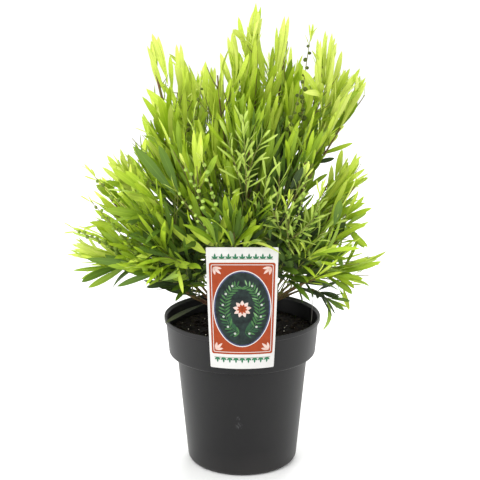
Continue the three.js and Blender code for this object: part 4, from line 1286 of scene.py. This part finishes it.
looseTable = [
    # limb, how far along it, foot and end (across, height, depth), which way it faces, width, bend, droop,
    # tone, which is partly painted light and shade
    ("low_left", 0.1, (-46, 208, -22), (-100, 181, -42), (0, 0, 1), 10, 0.03, 0, 7),
    ("drooping", 0.3, (64, 231, -34), (107, 214, -42), (0, -0.6, 1), 7, 0.06, 0, 0),
    ("drooping", 1.0, (107, 214, -41), (103, 171, -46), (0.7, -0.7, 0), 9.5, 0.22, 0, 2),
    ("drooping", 1.0, (108, 215, -40), (135, 203, -44), (0, -0.5, 0.9), 6.0, -0.04, 0, 3),
    ("low_right", 0.9, (123, 228, -30), (132, 206, -36), (0.7, -0.7, 0), 5.0, 0.12, 0, 3),
    ("side_front_left", 0.6, (-84, 350, -102), (-134, 412, -94), (0.6, -1, -0.3), 11.5, 0.05, 0, 1),
    ("side_front_left", 0.6, (-80, 354, -106), (-104, 414, -100), (0.7, -1, -0.2), 10.5, 0.03, 0, 1),
    ("front_low", 0.55, (-8, 285, -113), (50, 292, -117), (0, -0.6, 1), 5.6, 0.1, 0.32, 5),
]
thicketTable = [
    # leaves low in the middle, dark as painted shade: across from and to, height from and to, depth, leaves,
    # angles from and to
    (36, 80, 246, 296, -50, 80, 5, 170), (-84, -34, 238, 290, -50, 50, 20, 200),
    (-38, 44, 266, 304, -60, 66, 10, 170), (-72, -42, 230, 250, -40, 34, 120, 182),
]
threadWay = [(89, 221, -39), (91, 200, -38), (88, 175, -36)]  # a dry fibre, from the low dark leaf to the mix
sprayShape = {
    "foot": 0.95, "start": 0.55, "crowding": 0.8, "bearingStray": 0.4, "angleVariety": 0.4, "variety": 0.4,
    "widthVariety": 0.3, "roll": 1.6, "bend": 0.16, "twist": 0.6, "otherTone": 0.25,
}
laidShape = {
    "nearest": 5, "longer": 1.05, "roll": 0.9, "bend": 0.1, "twist": 0.7, "depthCount": 0.35, "nearer": 6,
    "sag": 0.12, "foot": 0.75, "probes": (0.2, 0.5, 0.8, 1),
    "stops": [k / 12 for k in range(2, 13)],  # where a twiglet may leave a shoot
}
# the thickets take only the three darkest greens, as painted shade
thicketShape = {"length": (30, 58), "width": (5.5, 9), "depthVariety": 0.8, "tones": 2.5}
youngShape = {
    "foot": 0.8, "start": 0.35, "length": 23, "width": 3.0, "angles": (70, 20), "hang": 0.02, "tone": 6,
    "variety": 0.9,
}
budShape = {
    "segments": 10, "rings": 7, "foot": 0.75, "angle": 1.15, "span": (0.3, 0.97), "sizes": (1.1, 0.75),
    "variety": (0.8, 1.15), "sink": (0.7, 0.8), "pointUp": 1.3, "pointDown": 1.12, "anyTurn": 3.1, "seed": 7,
    "tuftStart": 0.93, "tuft": 17, "tuftWidth": 3, "tuftAngles": (32, 10), "tuftTone": 5,
}
looseShape = {"twist": 0.2, "rise": 3, "foot": 0.7, "threadFoot": 0.55}
buds = {"budsGreen": [], "budsPale": [], "budsDark": []}


def seenAt(across, height, depth):
    # the point at a depth behind the pot's axis that shows at a place on the plane through that axis
    eye = outlineShape["eye"]
    return eye + (Vector((across, 0, height)) - eye) * ((depth - eye.y) / -eye.y)


def shootTowards(limb, at, way, radius):
    # a shoot that leaves a limb and follows places seen from the eye
    start = pointAt(limb["path"], at)
    handles = [start, start.lerp(seenAt(*way[0]), 0.6)] + [seenAt(*place) for place in way]
    return shootOf(evenPath(bezier(*handles), 24, 60), 4, radius)


def spread(shoot, count, start, length, width, angles, hang, tone, random, variety=sprayShape["variety"]):
    # leaves by the golden angle down the outer part of one shoot
    shape, first, tones = sprayShape, random() * fullTurn, paintedLightYouthShape["tones"]
    for i in range(count):
        along = (i + 0.5) / count
        share, angle = lerp(start, 1, along ** shape["crowding"]), lerp(*angles, along)
        leaf = drawnLeaf(shape, share, first + i * goldenAngle, angle, length, width, variety, random)
        leaf["droop"] = hang * (0.5 + random())
        leaf["twist"] = around(leafShape["twist"], random) * shape["twist"]
        blade, _ = settled(shoot, leaf, lambda probes: clearOfLimbs(probes, leafShape["margin"]))
        if blade and tone < tones:
            other = (random() < shape["otherTone"]) - (random() < shape["otherTone"])
            leafRows[clamp(tone + other, 0, tones - 1)].append(blade)
        elif blade:
            leafRows[tone].append(blade)


def growBuds(shoot, count, size, kind, random):
    shape, (inStalk, inBud) = budShape, budShape["sink"]
    for i in range(count):
        share = lerp(*shape["span"], (i + 0.3) / count)
        away = leaning(headingAt(shoot["path"], share), shape["angle"], i * goldenAngle + random())
        grown = size * lerp(*shape["sizes"], share) * lerp(*shape["variety"], random())
        place = pointAt(shoot["path"], share) + away * (shoot["foot"] * inStalk + grown * inBud)
        buds[kind].append((place, grown))


def twigTo(start, bent, root, foot):
    return shootOf(evenPath(bezier(start, bent, root), 12, 24), 4, foot)


def bladeTo(root, tip, facing, roll, width, bend, droop, twist):
    # a leaf from its root to its tip, its face turned to one side and rolled off it
    forward = (tip - root).normalized()
    up = (facing - forward * facing.dot(forward)).normalized()
    up = up * math.cos(roll) + forward.cross(up) * math.sin(roll)
    return root, forward, forward.cross(up), up, (tip - root).length, width, bend, droop, twist


def layLeaf(depth, row, samples, random):
    # one leaf at its own place, on a twiglet from the nearest shoot
    footAcross, footHeight, tipAcross, tipHeight, width, tone = row
    shape, eye = laidShape, outlineShape["eye"]
    (across, height), wanted = shownAt(samples), seenAt(footAcross, footHeight, depth)
    away = (across - footAcross) ** 2 + (height - footHeight) ** 2
    away += ((samples[:, 1] - wanted.y) * shape["depthCount"]) ** 2
    start = Vector(samples[int(away.argmin())])
    root = seenAt(footAcross, footHeight, start.y)
    tip = root + (seenAt(tipAcross, tipHeight, start.y - shape["nearer"]) - root) * shape["longer"]
    twiglet = None
    if (root - start).length > shape["nearest"]:
        bent = start.lerp(root, 0.5) - upward * (root - start).length * shape["sag"]
        twiglet = twigTo(start, bent, root, shape["foot"])
    roll, bend = around(shape["roll"], random), bendOf(shape["bend"], random)
    blade = bladeTo(root, tip, eye - root, roll, width, bend, 0.0, around(shape["twist"], random))
    if clearOfLimbs([root.lerp(tip, s) for s in shape["probes"]], leafShape["margin"]):
        leafRows[tone].append(blade)
        return [twiglet] if twiglet else []
    return []


def looseLeaf(name, at, foot, end, facing, width, bend, droop, tone):
    # a single leaf that hangs or lies clear of the rest, on a twig of its own
    shape, root, start = looseShape, seenAt(*foot), pointAt(limbs[name]["path"], at)
    blade = bladeTo(root, seenAt(*end), Vector(facing), 0, width, bend, droop, shape["twist"])
    leafRows[tone].append(blade)
    return twigTo(start, start.lerp(root, 0.5) + upward * shape["rise"], root, shape["foot"])


def thickets(random):
    # laid leaves and their depths, strewn over each thicket's box
    shape = thicketShape
    for left, right, low, high, depth, count, least, most in thicketTable:
        for _ in range(count):
            across, height = lerp(left, right, random()), lerp(low, high, random())
            turn, length = math.radians(lerp(least, most, random())), lerp(*shape["length"], random())
            tip = (across + length * math.cos(turn), height + length * math.sin(turn))
            yield (depth * varied(shape["depthVariety"], random),
                   (across, height, *tip, lerp(*shape["width"], random()), int(shape["tones"] * random())))


def growFeatures():
    made, random, thicketRandom = [], stream(911), stream(613)
    for name, at, way, count, length, width, foot, tip, hang, tone in sprayTable:
        made.append(shootTowards(limbs[name], at, way, sprayShape["foot"]))
        spread(made[-1], count, sprayShape["start"], length, width, (foot, tip), hang, tone, random)
    shape = budShape
    for name, at, way, count, size, tuft, kind in budTable:
        made.append(shootTowards(limbs[name], at, way, shape["foot"]))
        growBuds(made[-1], count, size, list(buds)[kind], random)
        spread(made[-1], tuft, shape["tuftStart"], shape["tuft"], shape["tuftWidth"], shape["tuftAngles"], 0,
               shape["tuftTone"], random)
    shape = youngShape
    for name, at, way, count in youngTable:
        made.append(shootTowards(limbs[name], at, way, shape["foot"]))
        spread(made[-1], count, shape["start"], shape["length"], shape["width"], shape["angles"], shape["hang"],
               shape["tone"], random, shape["variety"])
    stops = laidShape["stops"]
    samples = rowsOf(pointAt(shoot["path"], stop) for shoot in grownShoots + made for stop in stops)
    for depth, rows in laidLeaves:
        for row in rows:
            made += layLeaf(depth, row, samples, random)
    for depth, row in thickets(thicketRandom):
        made += layLeaf(depth, row, samples, thicketRandom)
    made += [looseLeaf(*row) for row in looseTable]
    thread = evenPath(bezier(*[seenAt(*place) for place in threadWay]), 16, 24)
    return made + [shootOf(thread, 5, looseShape["threadFoot"])]


for limb in limbs.values():
    growLeaves(limb, *shootsOf[limb["name"]])
features = growFeatures()
masses = ["foliage_" + name for name in names]
for (name, body, tip), rows in zip(leafTints, leafRows):
    say(f"{name}: {len(rows)} leaves")
    points, faces, coords = bladeMesh(rows)
    addPiece(name, (points, faces), leafSkin(name + "Skin", body, tip), masses, coords,
             leafShape["sharp"])

# the bark of trunk, limbs and twigs
twigShape = {"leaderSides": 8, "sides": 6, "stepLength": 7, "leastSteps": 5}
ridgeShape = {"around": 2.2, "fine": 0.5, "fineScale": 2.7}  # how the ridges of bark run round a limb
tipLength = 0.6  # of a limb's closed tip, by its radius there
twigFinish = {"patches": (120, 3), "edges": (0.35, 0.65), "fine": (900, 2), "depth": 0.05, "rough": 0.6,
              "specular": 0.35}
barkFinish = {"rough": 0.82, "specular": 0.3, "plates": (260, 4, 0.65), "worn": (122, 104, 86), "wornMost": 0.5}
twigTable = [
    # name, the orders of shoots in it, material, its two tints
    ("twigsBrown", (0,), "brownTwig", (112, 78, 50), (96, 96, 48)),
    ("twigsGreen", (1, 2, 3, 4), "greenTwig", (126, 144, 62), (112, 98, 58)),
    ("twigsDry", (5,), "dryTwig", (96, 94, 88), (70, 68, 62)),
]


def tube(path, radiusAt, sides, steps, ridges=0.0, grainLength=14.0, seed=0.0, flatFoot=False):
    # a round limb down a path, tapering to a closed tip, with ridges that run along it
    points, run, wide = [], 0.0, ridgeShape["around"]
    stops = stretch(path, 0, 1, steps)
    side = leaning(headingAt(path, 0), math.pi / 2, 0)
    for i, centre in enumerate(stops):
        if i:
            run += (centre - stops[i - 1]).length
        heading = upward if flatFoot else headingAt(path, i / steps)
        side = (side - heading * side.dot(heading)).normalized()
        other = heading.cross(side)
        for turn in turnsOf(sides):
            push = 1.0
            if ridges:
                spot = Vector((math.cos(turn) * wide, math.sin(turn) * wide, run / grainLength + seed))
                fine = ridgeShape["fine"] * noise.noise(spot * ridgeShape["fineScale"])
                push += ridges * (noise.noise(spot) + fine)
            out = side * math.cos(turn) + other * math.sin(turn)
            points.append(centre + out * radiusAt(i / steps) * push)
    rings = [range(i * sides, (i + 1) * sides) for i in range(steps + 1)]
    ends = [[len(points)], [len(points) + 1]]
    points += [stops[0], stops[-1] + headingAt(path, 1) * radiusAt(1) * tipLength]
    return points, bridged([ends[0], *rings, ends[1]])


def bark(name, dark, light, ridge):
    # long plates in two browns, worn paler in patches
    finish = barkFinish
    material, tree, shader = makeMaterial(name, finish)
    plates = grain(tree, placeOf(tree, (1, 1, 0.4)), *finish["plates"])
    worn = mapped(tree, grain(tree, placeOf(tree), 60, 2), 0.55, 0.8, 0, finish["wornMost"])
    base = mixed(tree, mapped(tree, plates, 0.32, 0.66), tint(*dark), tint(*light))
    feed(tree, shader, {"Base Color": mixed(tree, worn, base, tint(*finish["worn"])),
                        "Normal": relief(tree, plates, ridge)})
    return material


def trunkRadius(share):
    shape = trunkShape
    rise, flare = share * shape["height"], shape["flare"]
    if rise < flare:
        return lerp(shape["foot"], shape["waist"], math.sin(rise / flare * math.pi / 2))
    return lerp(shape["waist"], shape["crown"], (rise - flare) / (shape["height"] - flare))


def limbTube(limb, order):
    shape, bare = limbShape, limb["bare"]
    steps = max(10, round(limb["length"] * bare / shape["stepLength"]))
    return tube(stretch(limb["path"], 0, bare, 24),
                lambda s: limb["foot"] * (1 - (1 - shape["thinning"]) * s * bare), shape["sides"], steps,
                shape["ridges"], shape["grainLength"], shape["seedStep"] * order)


def twigTube(shoot):
    shape = twigShape
    steps = max(shape["leastSteps"], round(shoot["length"] / shape["stepLength"]))
    return tube(shoot["path"], lambda s: shoot["foot"] * (1 - shootShape["taper"] * s),
                shape["sides"] if shoot["order"] else shape["leaderSides"], steps)


oldBark = bark("oldBark", (62, 44, 34), (112, 82, 62), 0.5)
redBark = bark("redBark", (84, 54, 40), (134, 92, 68), 0.25)
trunk = tube([trunkFoot, trunkTop], trunkRadius, trunkShape["sides"], trunkShape["steps"], trunkShape["ridges"],
             trunkShape["grainLength"], trunkShape["seed"], True)
addPiece("trunkBark", trunk, oldBark, ["trunk"])
for kind, parts in (("stem", [n for n, p, _, _ in limbTable if p == "trunk"]),
                    ("bough", [n for n, p, _, _ in limbTable if p != "trunk"])):
    tubes = [limbTube(limbs[name], order) for order, name in enumerate(parts)]
    addPiece(kind + "Bark", joinShapes(tubes), redBark, [f"{kind}_{n}" for n in parts])
for name, orders, skin, *tints in twigTable:
    tubes = joinShapes([twigTube(shoot) for shoot in grownShoots + features if shoot["order"] in orders])
    addPiece(name, tubes, mottled(skin, tints, twigFinish)[0], masses)
say("twigs and limbs")

# the flower buds
budFinish = {"patches": (160, 3), "edges": (0.32, 0.68), "fine": (1500, 2), "depth": 0.06, "rough": 0.55,
             "specular": 0.2}
budTints = {
    "budsGreen": ("greenBud", (88, 110, 32), (136, 162, 56)),
    "budsPale": ("paleBud", (126, 162, 60), (174, 200, 92)),
    "budsDark": ("darkBud", (46, 58, 12), (86, 102, 24)),
}


def budTree():
    # sets a turned bud, of the size each point carries, on every point of a host
    tree, given = newTree("setBuds", {"Spots": "Geometry", "Shape": "Object", "Seed": "Int", "Turn": "Float",
                                      "Finish": "Material"})
    spots = addNode(tree, "GeometryNodeMeshToPoints", {"Mesh": given["Spots"]}).outputs[0]
    turn, back = given["Turn"], calculated(tree, "MULTIPLY", given["Turn"], -1.0)
    spin = spun(tree, (back, back, back), (turn, turn, turn), given["Seed"])
    size = addNode(tree, "GeometryNodeInputNamedAttribute", {"Name": "size"}, data_type="FLOAT")
    setCopies(tree, given, spots, spin, size.outputs[0])
    return tree


def oneBud():
    # a round bud one millimetre in half size, drawn out to a low point
    shape, segments, rings = bmesh.new(), budShape["segments"], budShape["rings"]
    bmesh.ops.create_uvsphere(shape, u_segments=segments, v_segments=rings, radius=mm)
    for vertex in shape.verts:
        vertex.co.z *= budShape["pointDown"] if vertex.co.z < 0 else budShape["pointUp"]
    bud = lumpOf("oneBud", shape)
    bud.data.shade_smooth()
    return bud


budSetter, bud = budTree(), oneBud()
for name, spots in buds.items():
    skin, *tints = budTints[name]
    host = hostOf(name + "Spots", [place for place, _ in spots], [])
    host.data.attributes.new("size", "FLOAT", "POINT").data.foreach_set("value", [size for _, size in spots])
    inputs = {"Shape": bud, "Seed": budShape["seed"], "Turn": budShape["anyTurn"],
              "Finish": mottled(skin, tints, budFinish)[0]}
    grownPiece(name, host, budSetter, inputs, masses)
    bpy.data.objects.remove(host)
bpy.data.objects.remove(bud)
say("buds")

# floor, light and camera
stageShape = {
    "elevation": 14.23, "distance": 1600, "aim": 300, "lens": 94.9, "sensor": 36, "shift": (-0.00458, -0.0129),
    "floor": 9000, "floorTone": 0.92, "floorFinish": {"rough": 0.7, "specular": 0.5}, "worldStrength": 1.15,
    "lights": [
        # name, place in metres, size, power
        ("keyLight", (-1.3, -1.5, 2.0), 1.2, 26), ("fillLight", (1.6, -1.2, 1.0), 1.2, 4),
        ("lowLight", (-1.9, -0.7, 0.4), 0.7, 7), ("backLight", (0.3, 1.6, 1.9), 1.4, 30),
    ],
}


def addLight(name, place, size, power):
    lamp = bpy.data.lights.new(name, "AREA")
    lamp.shape, lamp.size, lamp.energy = "DISK", size, power
    holder = linked(name, lamp)
    holder.location = place
    aim = Vector((0, 0, stageShape["aim"] * mm))
    holder.rotation_euler = (aim - Vector(place)).to_track_quat("-Z", "Y").to_euler()


def stage():
    shape = stageShape
    half, tone = shape["floor"] * mm / 2, shape["floorTone"]
    mesh = bpy.data.meshes.new("floor")
    corners = [(-half, -half, 0), (half, -half, 0), (half, half, 0), (-half, half, 0)]
    mesh.from_pydata(corners, [], [(0, 1, 2, 3)])
    paint, tree, shader = makeMaterial("paleFloor", shape["floorFinish"])
    feed(tree, shader, {"Base Color": (tone, tone, tone, 1)})
    mesh.materials.append(paint)
    linked("floor", mesh)
    world = bpy.data.worlds.new("paleRoom")
    world.use_nodes = True
    feed(world.node_tree, world.node_tree.nodes["Background"], {0: (1, 1, 1, 1), 1: shape["worldStrength"]})
    bpy.context.scene.world = world
    for light in shape["lights"]:
        addLight(*light)
    bpy.context.scene.view_settings.view_transform = "Standard"


def camera():
    shape = stageShape
    tilt, away = math.radians(shape["elevation"]), shape["distance"] * mm
    lens = bpy.data.cameras.new("camera")
    lens.lens, lens.sensor_width = shape["lens"], shape["sensor"]
    lens.shift_x, lens.shift_y = shape["shift"]
    holder = linked("camera", lens)
    holder.location = (0, -away * math.cos(tilt), shape["aim"] * mm + away * math.sin(tilt))
    holder.rotation_euler = (math.pi / 2 - tilt, 0, 0)
    bpy.context.scene.camera = holder


stage()
camera()
say("stage")
